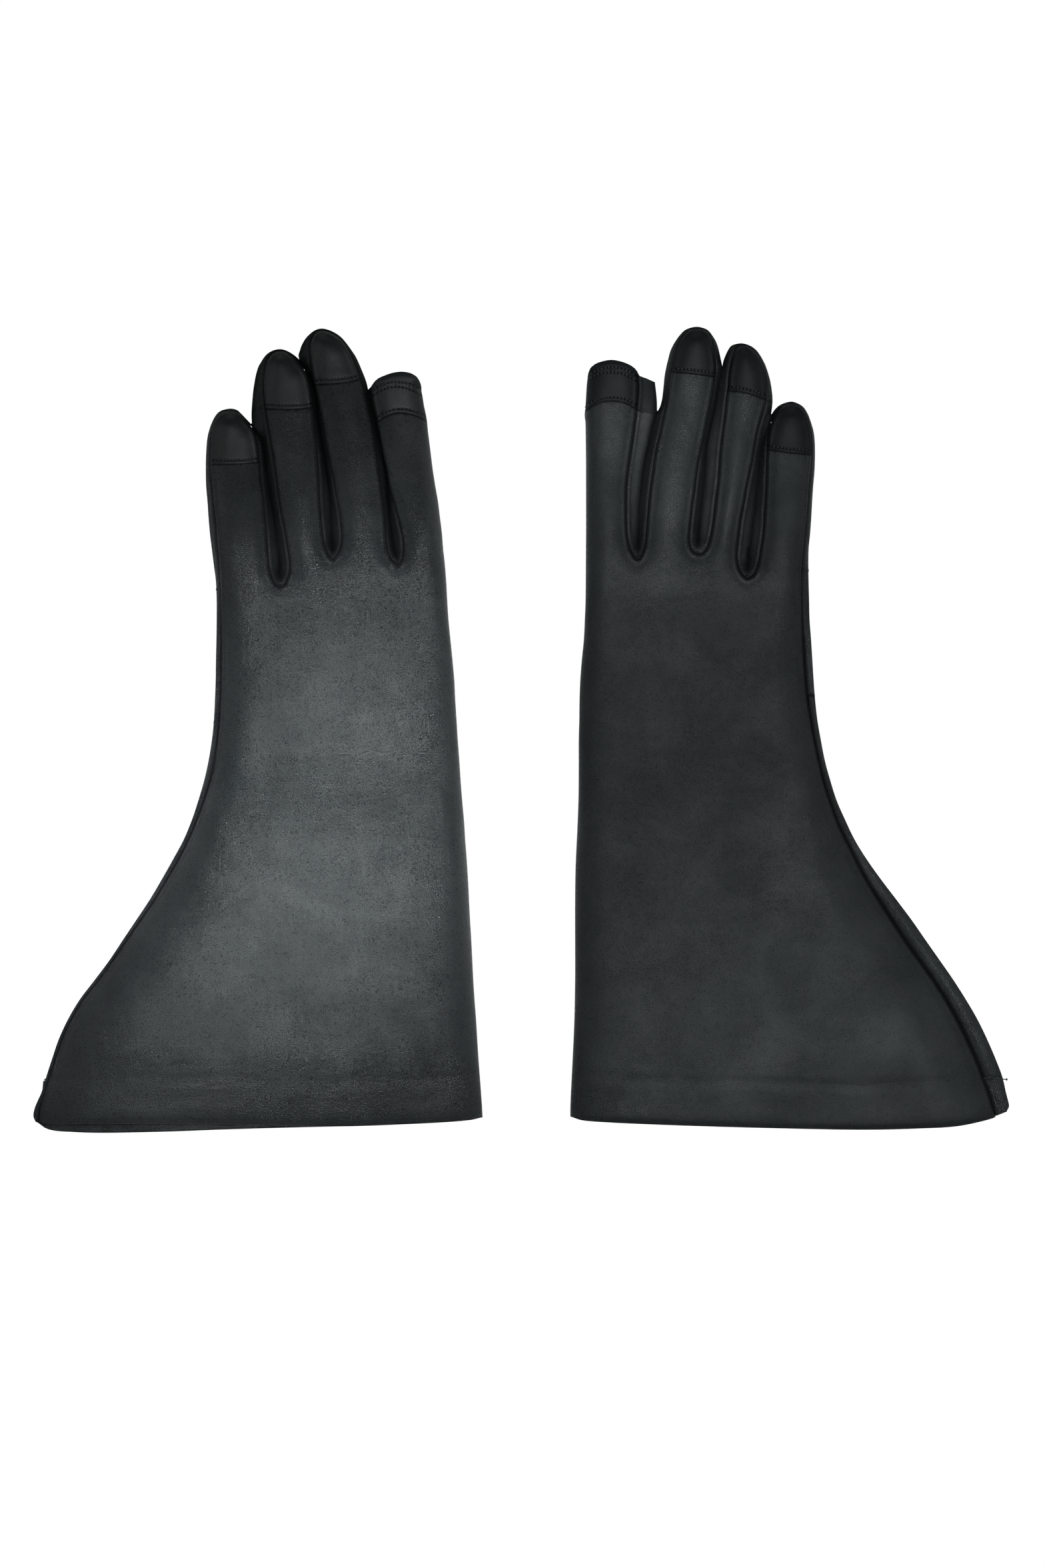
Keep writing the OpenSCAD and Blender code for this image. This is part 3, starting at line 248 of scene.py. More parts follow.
# ---- one glove ------------------------------------------------------------
class Glove:
    def __init__(self, side):
        self.side = side
        self.c = c = GLOVES[side]
        self.step = 0.75
        fine = 0.55
        self.l = {}
        for k, v in c["tab"].items():
            self.l[k] = smooth_line(v, fine if k[0] in "tc" and not k.startswith("cuff") else self.step)
        l, flip = self.l, c["flip"]
        # the whole outline from cuff corner to cuff corner, and each finger's own closed outline
        if not flip:
            self.outer_edge = l["s_pinky"]
            self.index_edge = l["s_index"]
            self.loops = {
                "pinky": np.vstack([l["s_pinky"], l["f0"]]),
                "ring": np.vstack([l["f0"][::-1], l["s_ring"], l["f1"]]),
                "middle": np.vstack([l["f1"][::-1], l["s_middle"], l["f2"]]),
                "index": np.vstack([l["f2"][::-1], l["end"], l["s_index"]]),
            }
            free = [l["s_pinky"], l["s_ring"], l["s_middle"], l["s_index"]]
            self.t_lines = {"pinky": [l["t_pinky_out"], l["t_pinky_in"]], "ring": [l["t_ring_a"], l["t_ring_b"]],
                            "middle": [l["t_middle_a"], l["t_middle_b"]], "index": [l["t_index"]]}
            hand_top = [l["f0"][-1], l["t_ring_a"][-1], l["f1"][-1], l["t_middle_a"][-1], l["f2"][-1], l["t_index"][-1]]
            self.back = np.vstack([l["t_pinky_out"][::-1], l["t_pinky_in"], l["t_ring_a"][::-1], l["t_ring_b"],
                                   l["t_middle_a"][::-1], l["t_middle_b"], l["t_index"][::-1],
                                   l["end"][l["end"][:, 0] > l["t_index"][0][0]], l["s_index"], l["cuff_back"]])
        else:
            self.outer_edge = l["s_pinky"]
            self.index_edge = l["s_index"]
            self.loops = {
                "index": np.vstack([l["s_index"], l["end"], l["s_index_in"], l["f0"]]),
                "middle": np.vstack([l["f0"][::-1], l["s_middle"], l["f1"]]),
                "ring": np.vstack([l["f1"][::-1], l["s_ring"], l["f2"]]),
                "pinky": np.vstack([l["f2"][::-1], l["s_pinky"]]),
            }
            free = [l["s_index"], l["s_index_in"], l["s_middle"], l["s_ring"], l["s_pinky"]]
            self.t_lines = {"pinky": [l["t_pinky_in"], l["t_pinky_out"]], "ring": [l["t_ring_a"], l["t_ring_b"]],
                            "middle": [l["t_middle_a"], l["t_middle_b"]], "index": [l["t_index"]]}
            self.back = np.vstack([l["s_index"], l["end"][l["end"][:, 0] < l["t_index"][0][0]], l["t_index"],
                                   l["t_middle_a"][::-1], l["t_middle_b"], l["t_ring_a"][::-1], l["t_ring_b"],
                                   l["t_pinky_in"][::-1], l["t_pinky_out"], l["cuff_back"]])
        self.free = free
        self.folds = [l["f0"], l["f1"], l["f2"]]
        self.t_all = [t for ts in self.t_lines.values() for t in ts]
        # the hand below the fingers, closed by lines from crotch to crotch
        if not flip:
            a, b = l["s_pinky"], l["s_index"]
            a, b = a[: int(np.argmax(a[:, 1] > 66))], b[b[:, 1] < 66]
        else:
            a, b = l["s_index"], l["s_pinky"]
            a, b = a[a[:, 1] < 66], b[np.where(b[:, 1] > 66)[0].max() + 1:]
        self.hand = {k: np.vstack([a, [f[-1] for f in self.folds], b, l["cuff_" + k]]) for k in ("back", "palm")}
        # lower seams: the lines where the finger fronts meet the side strips, and the seam under the index side
        self.b_lines, self.strips = [], []
        for name in c["order"]:
            ytip = c["tip"][name]
            for part, sgn in self.sides(name):
                along = np.concatenate([[0], np.cumsum(np.linalg.norm(np.diff(part, axis=0), axis=1))])
                wrap = part is l["s_index"] or len(part) > 260 / self.step
                keep = np.ones(len(part), bool) if name == "index" else part[:, 1] < ytip - 3
                n = normals2(part)[keep]
                w = np.full(keep.sum(), 2.3)
                if name != "index":
                    w = 0.35 + 1.95 * ease((ytip - 3 - part[keep][:, 1]) / 11)
                if not wrap:
                    w = np.minimum(w, 0.35 + 1.95 * ease(along[keep] / 8))
                line = part[keep] + n * (sgn * w)[:, None]
                self.b_lines.append(line)
                self.strips.append((name, sgn, wrap, np.vstack([part[keep], line[::-1]])))
        # S samples: [height of the line, 1 on a fold, distance above the crotch]
        rows = []
        for e in free:
            rows.append((e, [Z_MID, 0.0, 99.0]))
        for f in self.folds:
            s = np.concatenate([[0], np.cumsum(np.linalg.norm(np.diff(f[::-1], axis=0), axis=1))])[::-1]
            rows.append((f, [Z_MID, 1.0, s]))
        self.S = Field(rows)
        self.I = Field([(self.index_edge, [0.0])])
        rows = []
        for name, ts in self.t_lines.items():
            ytip = c["tip"][name]
            for t in ts:
                y = t[:, 1]
                outer = t is l["t_pinky_out"]
                zs = Z_SEAM * np.ones(len(t))
                if name != "index":
                    k = np.clip((ytip - y) / 13.0, 0, 1)
                    zs = Z_MID + 0.8 + (zs - Z_MID - 0.8) * np.sqrt(1 - (1 - k) ** 2)
                R = 8.6 * np.ones(len(t))
                if outer:
                    k = ease((66 - y) / 40.0)
                    zs = zs * (1 - k) + Z_EDGE * k
                    R = R + 8 * k + 12 * ease((-20 - y) / 60)
                else:
                    yc = y.min()
                    k = ease((yc + 9 - y) / 9)
                    zs = zs + 1.6 * k
                rows.append((t, [zs, R]))
        self.T = Field(rows)
        self.T_side = {}
        k = 0
        for name, ts in self.t_lines.items():
            self.T_side[name] = [Field([rows[k + i]]) for i in range(len(ts))]
            k += len(ts)
        self.B = Field([(b, [0.0]) for b in self.b_lines]) if self.b_lines else None
        self.caps = {n: l["cap_" + n] for n in c["order"]}
        self.C = {n: Field([(v, [0.0])]) for n, v in self.caps.items()}
        self.hem = {k: Field([(l["cuff_" + k], [0.0])]) for k in ("back", "palm")}
        self.end = Field([(l["end"], [0.0])])
        self.rows = [self.caps["index"] + np.array(o) for o in c["rows"]]     # the two rows of stitches round the open end
        self.rim = Field([((self.rows[0] + self.rows[1]) / 2, [0.0])])     # halfway between them

    def sides(self, name):
        """The long sides of a finger's outline that carry a lower seam, running up, with the sign of the inward normal."""
        l, flip = self.l, self.c["flip"]

        def up(fold, free=None):
            line = fold[::-1]
            if free is not None:
                if np.hypot(*(free[0] - line[-1])) > 0.5:
                    free = free[::-1]
                line = np.vstack([line, free[1: int(np.argmax(free[:, 1])) + 1]])
            return line

        if not flip:
            return {"pinky": [(up(l["f0"], l["s_pinky"]), 1)],
                    "ring": [(up(l["f0"], l["s_ring"]), -1), (up(l["f1"], l["s_ring"]), 1)],
                    "middle": [(up(l["f1"], l["s_middle"]), -1), (up(l["f2"], l["s_middle"]), 1)],
                    "index": [(up(l["f2"]), -1), (l["s_index"][::-1], 1)]}[name]
        return {"index": [(l["s_index"], -1), (np.vstack([l["f0"][::-1], l["s_index_in"][::-1][1:]]), 1)],
                "middle": [(up(l["f0"], l["s_middle"]), -1), (up(l["f1"], l["s_middle"]), 1)],
                "ring": [(up(l["f1"], l["s_ring"]), -1), (up(l["f2"], l["s_ring"]), 1)],
                "pinky": [(up(l["f2"], l["s_pinky"]), -1)]}[name]

    # -- heights -----------------------------------------------------------
    def lift(self, x, y, finger):
        c = self.c
        hand = RISE * ease((y + 55) / (c["wrist"] + 48))
        if finger is None:
            return hand
        tip = {"index": 138.0 if self.side == "left" else 143.5}.get(finger, c["tip"][finger])
        return hand * (1 - ease((y - c["drop"]) / (tip - 14 - c["drop"])))

    def crown(self, x, y):
        h = H_GAUNT + (H_HAND - H_GAUNT) * ease((y + 70) / 70)
        h = h + (H_FINGER - H_HAND) * ease((y - 45) / 22)
        return h - 2.1 * ease((-126 - y) / 34)

    def undulate(self, x, y, sheet):
        """Soft hollows and folds of worn leather, mm."""
        seed = {"left": 11, "right": 47}[self.side] + (0 if sheet == "top" else 200)
        g = ease((30 - y) / 60)
        z = 0.13 * g * fbm(x, y, 60, seed, 2) + 0.10 * fbm(x, y, 17, seed + 5, 3) * (0.5 + 0.5 * g)
        z += 0.10 * (1 - g) * fbm(x, y, 9, seed + 9, 2, stretch=0.6)
        z += 0.035 * fbm(x, y, 3.2, seed + 13, 2)
        return z

    def z_top(self, xy, panel, finger):
        x, y = xy[:, 0], xy[:, 1]
        c = self.c
        lift = self.lift(x, y, finger)
        dS, vS, pS = self.S(xy)
        dT, vT, pT = self.T(xy)
        zs, R, sT = vT[:, 0], vT[:, 1], vT[:, 2]
        fold, above = vS[:, 1], vS[:, 2]
        zf = Z_MID + (zs - 0.4 - Z_MID) * fold * ease((7.5 - above) / 7.5) ** 0.8
        # down the side of the gauntlet the seam is pulled in deeper between two soft rolls
        deep = 0.95 * ease((R - 9.5) / 6.0)
        groove = 0.9 + 0.25 * deep
        if panel == "back":
            H = self.crown(x, y)
            if finger is None:
                k = np.clip(dT / R, 0, 1)
                drop = (H - zs) * (1 - k) ** 2.5
            else:
                # both long seams of the finger pull the leather down, so the back is one smooth arch
                drop = np.zeros(len(x))
                for field in self.T_side[finger]:
                    d1, v1, _ = field(xy)
                    k = np.clip(d1 / v1[:, 1], 0, 1)
                    drop += ((H - v1[:, 0]) * (1 - k) ** 2.5) ** 2.4
                drop = np.minimum(drop ** (1 / 2.4), H - zs)
            zT = H - drop
            dI = self.I(xy)[0]
            R_I = 9.5 + 7 * ease((60 - y) / 60) + 6 * ease((-30 - y) / 60)
            k = np.clip(dI / R_I, 0, 1)
            zI = Z_MID + (H - Z_MID) * np.sqrt(np.maximum(0, 1 - (1 - k) ** 2.6))
            z = H - np.sqrt((H - zT) ** 2 + (H - zI) ** 2)
            z += self.undulate(x, y, "top") * ease(np.minimum(dT, dI) / 5.0)
            z += self.creases(x, y) * ease(np.minimum(dT, dI) / 2.0)
            # the rolled edge of the seam, pulled in along the stitch line
            z += 0.46 * np.exp(-((dT - 0.95) / 0.55) ** 2) - groove * np.exp(-(dT / 0.42) ** 2)
            z -= 0.18 * np.exp(-((dT - 2.1) / 0.55) ** 2) + deep * np.exp(-(dT / 1.5) ** 2)
            z += self.cap_step(xy, finger, 1)
            # the cuff hem: two layers, with the inner edge showing as a soft line
            dH = self.hem["back"](xy)[0]
            ripple = 0.30 * np.sin(x * 0.21 + 1.3) + 0.35 * np.sin(x * 0.083)
            z += 0.22 * ease((16.5 + ripple - dH) / 3.4) - 0.14 * np.exp(-((dH - 17.8 - ripple) / 1.5) ** 2)
            z -= 0.75 * np.exp(-(dH / 0.8) ** 2) + 0.35 * np.exp(-(dH / 3.0) ** 2)
            z += 0.12 * ease((14 - dH) / 10) * fbm(x, y, 5, 77, 2, stretch=2.5)
            if finger == "index":
                dE = self.end(xy)[0]
                z -= 0.7 * np.exp(-(dE / 0.7) ** 2)
        else:
            w = dS + dT
            u = dS / np.maximum(w, 1e-6)
            top = zs - groove
            shape = u ** 0.75
            wide = ease((w - 3) / 4)
            z = zf + (top - zf) * (shape * (1 - wide) + (0.42 * np.sqrt(np.clip(1 - (1 - u) ** 3, 0, 1)) + 0.58 * u ** 0.6) * wide)
            z += 0.55 * np.exp(-((dT - 0.85) / 0.5) ** 2) * ease(w / 2.5)
            full = 0.35 + 0.65 * ease((y + 139.8) / 2.2)           # the strip's own hem lies flatter
            z += deep * (1.25 * full * np.sin(np.pi * np.clip(u, 0, 1)) ** 0.9 * wide - np.exp(-(dT / 1.5) ** 2))
            z -= 0.45 * deep * np.exp(-((y + 139.4) / 0.8) ** 2) * np.clip(np.minimum(dS, dT) / 1.2, 0, 1)
            z += 0.10 * fbm(x, y, 4, 31, 2) * ease(np.minimum(dS, dT) / 1.5)
            z += self.cap_step(xy, finger, 1) * 0.6
        return lift + z

    def z_bottom(self, xy, panel, finger):
        x, y = xy[:, 0], xy[:, 1]
        lift = self.lift(x, y, finger)
        dS, vS, _ = self.S(xy)
        fold, above = vS[:, 1], vS[:, 2]
        zf = Z_MID - (Z_MID - 0.9) * fold * ease((7.5 - above) / 7.5) ** 0.8
        k = np.clip(dS / 3.6, 0, 1)
        z = 0.34 + (zf - 0.34) * (1 - np.sqrt(np.maximum(0, 1 - (1 - k) ** 2)))
        z += 0.10 * fbm(x, y, 14, 300, 3) * ease((dS - 3) / 6) + 0.05 * fbm(x, y, 4, 320, 2) * ease((dS - 3) / 4)
        if self.B is not None:
            dB, vB, _ = self.B(xy)
            s = vB[:, 1]
            z += 0.5 * np.exp(-(dB / 0.4) ** 2) - 0.2 * np.exp(-((dB - 1.0) / 0.5) ** 2) * (0.6 + 0.4 * np.cos(2 * np.pi * s / 1.55)) * ease(dS / 1.0)
        dH = self.hem["palm"](xy)[0]
        z += 0.5 * np.exp(-(dH / 0.8) ** 2)
        if finger == "index":
            dE = self.end(xy)[0]
            z += 0.5 * np.exp(-(dE / 0.7) ** 2)
        return lift + np.maximum(z, 0.05)

    def pressed(self, xy, finger):
        """Neighbouring fingers press on each other along the fold between them."""
        dS, vS, pS = self.S(xy)
        loop = self.loops[finger]
        name = self.c["order"]
        mid = 0.5 * (loop[loop[:, 1] > 60][:, 0].min() + loop[loop[:, 1] > 60][:, 0].max())
        push = 0.6 * vS[:, 1] * ease(vS[:, 2] / 14.0) * np.exp(-(dS / 0.8) ** 2)
        # a finger's own axis tells which way is out
        a = self.axis(finger)
        side = np.sign(xy[:, 0] - np.interp(xy[:, 1], a[:, 1], a[:, 0]))
        out = xy.copy()
        out[:, 0] += side * push
        return out

    def axis(self, finger):
        loop = self.loops[finger]
        ys = np.arange(self.c["cut"][finger], self.c["tip"][finger] - 3, 3.0)
        pts = []
        for y in ys:
            xs = crossings(loop, y)
            if len(xs) > 1:
                pts.append((0.5 * (xs[0] + xs[-1]), y))
        return np.array(pts)

    def cap_step(self, xy, finger, sign):
        """The fingertip piece laps over the back: a small step, with a furrow under its stitches."""
        if finger is None:
            return 0.0
        d, _, p = self.C[finger](xy)
        above = xy[:, 1] > p[:, 1]
        z = np.where(above, 0.5 * ease(d / 0.32), -0.14 * np.exp(-(d / 0.5) ** 2))
        z += np.where(above, 0.14 * np.exp(-((d - 0.7) / 0.4) ** 2), 0)
        dist = [1.75] if finger != "index" else [1.9]
        for q in dist:
            z -= np.where(above, 0.16 * np.exp(-((d - q) / 0.42) ** 2), 0)
        if finger == "index":
            z = z + 0.0 * xy[:, 0]
        return z

    def creases(self, x, y):
        xy = np.stack([x, y], 1)
        z = np.zeros(len(x))
        for line, depth, width in CREASES[self.side]:
            f = self._crease(line)
            near = (np.abs(x - f.p[:, 0].mean()) < 60) & (np.abs(y - f.p[:, 1].mean()) < 60)
            if not near.any():
                continue
            d, v, _ = f(xy[near])
            fade = np.sin(np.pi * np.clip(v[:, -1] / max(f.v[:, -1].max(), 1e-6), 0, 1)) ** 0.7
            z[near] += 0.4 * fade * depth * (-np.exp(-(d / width) ** 2) + 0.55 * np.exp(-((d - 2.2 * width) / (1.3 * width)) ** 2))
        return z

    def _crease(self, line):
        key = str(line)
        self._cc = getattr(self, "_cc", {})
        if key not in self._cc:
            self._cc[key] = Field([(smooth_line(line, 0.5), [0.0])])
        return self._cc[key]

    # -- triangulation -------------------------------------------------------
    def triangulate(self, sheet):
        l, c = self.l, self.c
        cons = [("S", s) for s in self.free + self.folds] + [("E", l["end"])]
        cons += [("H", l["cuff_back" if sheet == "top" else "cuff_palm"])]
        if sheet == "top":
            cons += [("T", t) for t in self.t_all]
        else:
            cons += [("B", b) for b in self.b_lines]
        cuts = []
        for name in c["order"]:
            y = c["cut"][name]
            loop = self.loops[name]
            xs = crossings(loop, y)
            if len(xs) >= 2:
                xa, xb = xs[0], xs[-1]
                cuts.append((name, xa, xb))
                n = max(2, int((xb - xa) / self.step))
                cons.append(("K", np.stack([np.linspace(xa, xb, n), np.full(n, y)], 1)))
        for name in c["order"]:
            if sheet == "top" or name == "index":
                cons.append(("C", self.caps[name]))
        pts, edges, taken = [], [], Grid(0.5)
        for kind, line in cons:
            base = len(pts)
            for q in line:
                pts.append(Vector((float(q[0]), float(q[1]))))
                taken.add(q, 0.01, force=True)
            edges += [(base + i, base + i + 1) for i in range(len(line) - 1)]
        # rows beside the lines carry the rolled seams and the turned sides
        rings = {"S": [0.12, 0.45, 1.0, 1.8], "T": [0.38, 0.85, 1.4, 2.0], "B": [0.5, 1.1], "E": [0.4, 0.9, 1.9, 2.3, 2.8, 4.9], "H": [0.5, 1.1, 2.0], "K": [], "C": [0.22, 0.5, 1.1, 1.75, 2.3]}
        near = Grid(0.5)
        for kind, line in cons:
            for q in line:
                near.add(q, 0, force=True)
        extra = []
        for kind, line in cons:
            n = normals2(line)
            for r in rings[kind]:
                for sg in (-1, 1):
                    q = line + n * sg * r
                    spacing = 1 if r < 1.5 else 2
                    for a in q[::spacing]:
                        if near.clear(a, r * 0.86) and taken.add(a, 0.30 if r < 0.5 else 0.42):
                            extra.append(a)
        lo = np.min([p.min(0) for p in self.loops.values()], 0) - 2
        lo[1] = min(l["cuff_palm"][:, 1].min(), l["cuff_back"][:, 1].min()) - 1
        hi = np.max([p.max(0) for p in self.loops.values()], 0) + 2
        pitch = PITCH if sheet == "top" else PITCH * 1.35
        ny = int((hi[1] - lo[1]) / (pitch * 0.866)) + 1
        for j in range(ny):
            yy = lo[1] + j * pitch * 0.866
            xx = np.arange(lo[0] + (pitch / 2 if j % 2 else 0), hi[0], pitch)
            row = np.stack([xx, np.full(len(xx), yy)], 1)
            ok = self.inside_any(row, sheet)
            for a in row[ok]:
                if taken.add(a, pitch * 0.62):
                    extra.append(a)
        pts += [Vector((float(a[0]), float(a[1]))) for a in extra]
        v, e, f, *_ = delaunay_2d_cdt(pts, edges, [], 0, 1e-4, False)
        V = np.array([(q[0], q[1]) for q in v])
        F = np.array([t for t in f if len(t) == 3])
        cen = V[F].mean(1)
        keep = self.inside_any(cen, sheet)
        area = np.abs(np.cross(V[F[:, 1]] - V[F[:, 0]], V[F[:, 2]] - V[F[:, 0]]))
        keep &= area > 1e-5
        F, cen = F[keep], cen[keep]
        # counter-clockwise from above
        a = np.cross(V[F[:, 1]] - V[F[:, 0]], V[F[:, 2]] - V[F[:, 0]])
        F[a < 0] = F[a < 0][:, ::-1]
        finger = np.full(len(F), -1)
        for i, name in enumerate(c["order"]):
            m = inside(self.loops[name], cen) & (cen[:, 1] > c["cut"][name])
            finger[m] = i
        return V, F, cen, finger

    def inside_any(self, pts, sheet):
        m = inside(self.hand["back" if sheet == "top" else "palm"], pts)
        for name in self.c["order"]:
            loop = self.loops[name]
            m |= inside(loop[loop[:, 1] > 40], pts)
        return m


def crossings(loop, y):
    a, b = loop[:-1], loop[1:]
    hit = (a[:, 1] > y) != (b[:, 1] > y)
    t = (y - a[hit, 1]) / (b[hit, 1] - a[hit, 1])
    return sorted(a[hit, 0] + t * (b[hit, 0] - a[hit, 0]))


class Grid:
    """Keeps points apart."""

    def __init__(self, cell):
        self.c, self.d = cell, {}

    def clear(self, q, r):
        n = int(r / self.c) + 1
        i, j = int(math.floor(q[0] / self.c)), int(math.floor(q[1] / self.c))
        r2 = r * r
        for a in range(i - n, i + n + 1):
            for b in range(j - n, j + n + 1):
                for p in self.d.get((a, b), ()):
                    if (p[0] - q[0]) ** 2 + (p[1] - q[1]) ** 2 < r2:
                        return False
        return True

    def add(self, q, r, force=False):
        if not force and not self.clear(q, r):
            return False
        self.d.setdefault((int(math.floor(q[0] / self.c)), int(math.floor(q[1] / self.c))), []).append((q[0], q[1]))
        return True


# Creases seen in the leather: [points, depth, half width]
CREASES = {
    "left": [
        ([(-121, -99), (-113, -108), (-105, -117), (-98, -124.5)], 0.30, 1.1),
        ([(-116, 40), (-104, 44), (-94, 43), (-86, 47)], 0.20, 1.2),
        ([(-92, 50), (-84, 55), (-76, 58), (-68, 57)], 0.22, 1.0),
        ([(-74, 52), (-64, 56), (-55, 56), (-46, 52)], 0.18, 1.1),
        ([(-60, 46), (-52, 50), (-43, 50), (-36, 46)], 0.15, 1.1),
        ([(-112, 8), (-96, 3), (-80, 5), (-62, 0)], 0.20, 2.0),
        ([(-60, -8), (-48, -5), (-36, -9), (-28, -7)], 0.18, 1.8),
    ],
    "right": [
        ([(32, 40), (42, 46), (52, 50), (60, 56)], 0.18, 1.2),
        ([(60, 48), (70, 53), (80, 52), (90, 47)], 0.20, 1.1),
        ([(86, 46), (94, 51), (103, 50), (110, 46)], 0.18, 1.1),
        ([(28, 12), (44, 7), (62, 9), (84, 4)], 0.22, 2.2),
        ([(70, -6), (86, -3), (100, -8), (112, -6)], 0.18, 1.8),
    ],
}


# ---- pieces ---------------------------------------------------------------
MM = 0.001
PIECES = {}


def make_object(name, verts, faces, material, smooth=True, extra=None):
    """Merges coincident points (mm) and makes one object, with its rest coordinates kept for the grain."""
    verts = np.asarray(verts, float)
    key = np.round(verts / 0.004).astype(np.int64)
    _, first, inv = np.unique(key, axis=0, return_index=True, return_inverse=True)
    inv = inv.reshape(-1)
    order = np.argsort(first, kind="stable")
    rank = np.empty(len(order), int)
    rank[order] = np.arange(len(order))
    inv = rank[inv]
    verts = verts[first[order]]
    out = []
    for f in faces:
        g = [int(inv[i]) for i in f]
        h = [a for k, a in enumerate(g) if a != g[k - 1]]
        if len(set(h)) == len(h) and len(h) > 2:
            out.append(h)
    me = bpy.data.meshes.new(name)
    me.from_pydata((verts * MM).tolist(), [], out)
    me.validate()
    me.update()
    if smooth:
        me.polygons.foreach_set("use_smooth", [True] * len(me.polygons))
    co = np.empty(len(me.vertices) * 3, np.float32)
    me.vertices.foreach_get("co", co)
    at = me.attributes.new("rest_mm", "FLOAT_VECTOR", "POINT")
    at.data.foreach_set("vector", co * 1000.0)
    for k, plain in (("seam_mm", (9.0, 0.0, 9.0)), ("cap_mm", (9.0, 0.0, 99.0))):
        val = np.tile(np.array(plain, np.float32), (len(verts), 1)) if extra is None else np.asarray(extra[k], np.float32)[first[order]]
        at = me.attributes.new(k, "FLOAT_VECTOR", "POINT")
        at.data.foreach_set("vector", np.ascontiguousarray(val).reshape(-1))
    ob = bpy.data.objects.new(name, me)
    bpy.context.scene.collection.objects.link(ob)
    me.materials.append(material)
    PIECES[name] = ob
    return ob


class Builder:
    """Collects parts of the two sheets into one mesh."""

    def __init__(self, glove):
        self.g, self.v, self.f, self.n, self.tag = glove, [], [], 0, []
        self.seam, self.cap = [], []       # distances to the seams, for the stitches drawn in the leather

    def plain(self, n):
        self.seam.append(np.tile([9.0, 0.0, 9.0], (n, 1)))
        self.cap.append(np.tile([9.0, 0.0, 99.0], (n, 1)))

    def distances(self, sheet, xy, panel, finger):
        g, n = self.g, len(xy)
        dS = g.S(xy)[0]
        seam, cap = np.column_stack([np.full(n, 9.0), np.zeros(n), dS]), np.tile([9.0, 0.0, 99.0], (n, 1))
        if sheet == "top":
            dT, vT, _ = g.T(xy)
            seam[:, 0], seam[:, 1] = dT, vT[:, 2]
            if finger is not None and (panel == "back"):
                d, v, p = g.C[finger](xy)
                cap[:, 0], cap[:, 1] = np.where(xy[:, 1] > p[:, 1], d, -d), v[:, -1]
                if finger == "index":
                    cap[:, 2] = g.rim(xy)[0]
        self.seam.append(seam)
        self.cap.append(cap)

    def piece(self, v, f):
        """Adds a loose piece of mesh that is already in place."""
        v = np.asarray(v, float)
        self.v.append(v)
        self.tag.append(np.full(len(v), 9))
        self.plain(len(v))
        self.f += [[i + self.n for i in q] for q in f]
        self.n += len(v)

    def add(self, sheet, V, F, panel, finger):
        if len(F) == 0:
            return self
        used, inv = np.unique(F, return_inverse=True)
        xy = V[used]
        z = (self.g.z_top if sheet == "top" else self.g.z_bottom)(xy, panel, finger)
        self.distances(sheet, xy, panel, finger)
        if finger is not None and panel == "side":
            xy = self.g.pressed(xy, finger)
        F = inv.reshape(-1, 3) + self.n
        self.tag.append(np.full(len(used), 0 if sheet == "top" else 1))
        if sheet == "bottom":
            F = F[:, ::-1]
        self.v.append(np.column_stack([xy, z]))
        self.f += F.tolist()
        self.n += len(used)
        return self

    def hem(self, sheet, key, depth, into):
        """Turns the edge in along a line: a rolled edge and a second layer inside."""
        v = np.vstack(self.v)
        line = self.g.l[key]
        field = Field([(line, [0.0])], 0.1)
        box = (v[:, 0] > line[:, 0].min() - 1) & (v[:, 0] < line[:, 0].max() + 1) & (v[:, 1] > line[:, 1].min() - 1) & (v[:, 1] < line[:, 1].max() + 1)
        box &= np.concatenate(self.tag) == (0 if sheet == "top" else 1)
        idx = np.where(box)[0]
        d, val, _ = field(v[idx, :2])
        on = idx[d < 0.03]
        s = val[d < 0.03][:, -1]
        order = np.argsort(s)
        on, s = on[order], s[order]
        keep = np.concatenate([[True], np.diff(s) > 0.02])
        on, s = on[keep], s[keep]
        if len(on) < 4:
            return self
        p = v[on]
        n = normals2(p[:, :2])
        if np.sum(n[:, 1]) * into > 0:
            n = -n                       # points out of the opening
        dS = self.g.S(p[:, :2])[0]
        k = 0.12 + 0.88 * ease(dS / 5.0)
        sg = -1 if sheet == "top" else 1
        rows = [(0.30, 0.10), (0.52, 0.38), (0.55, 0.75), (0.38, 1.12), (-0.1, 1.38), (-1.2, 1.5), (-depth * 0.35, 1.6), (-depth * 0.7, 1.62), (-depth, 1.6), (-depth - 0.3, 0.9)]
        if sheet == "bottom":
            rows = [(a, b * 0.72) for a, b in rows]
        prev = on
        z_in = None
        for out, dz in rows:
            q = p.copy()
            q[:, :2] += n * out * (k if out > 0 else 1)[:, None] if out > 0 else n * out
            wob = 0.12 * np.sin(s * 0.9) * (1 if out < -1 else 0)
            q[:, 2] += sg * (dz * k + wob * k)
            if out < -1:
                # follow the sheet's own height further in
                fin = None if key.startswith("cuff") else "index"
                if sheet == "top":
                    zz = np.where(inside(self.g.back, q[:, :2]), self.g.z_top(q[:, :2], "back", fin), self.g.z_top(q[:, :2], "side", fin) - 0.5)
                else:
                    zz = self.g.z_bottom(q[:, :2], "panel", fin)
                q[:, 2] = zz + sg * (dz * k + wob * k) + (0 if sheet == "top" else 0)
            cur = np.arange(len(q)) + self.n
            self.v.append(q)
            self.tag.append(np.full(len(q), 9))
            self.plain(len(q))
            self.n += len(q)
            for i in range(len(q) - 1):
                a, b, c, e = int(prev[i]), int(prev[i + 1]), int(cur[i + 1]), int(cur[i])
                # wind it the same way as the sheet
                self.f.append([a, b, c, e])
            prev = cur
        return self

    def make(self, name, material):
        return make_object(name, np.vstack(self.v), self.f, material, extra={"seam_mm": np.vstack(self.seam), "cap_mm": np.vstack(self.cap)})


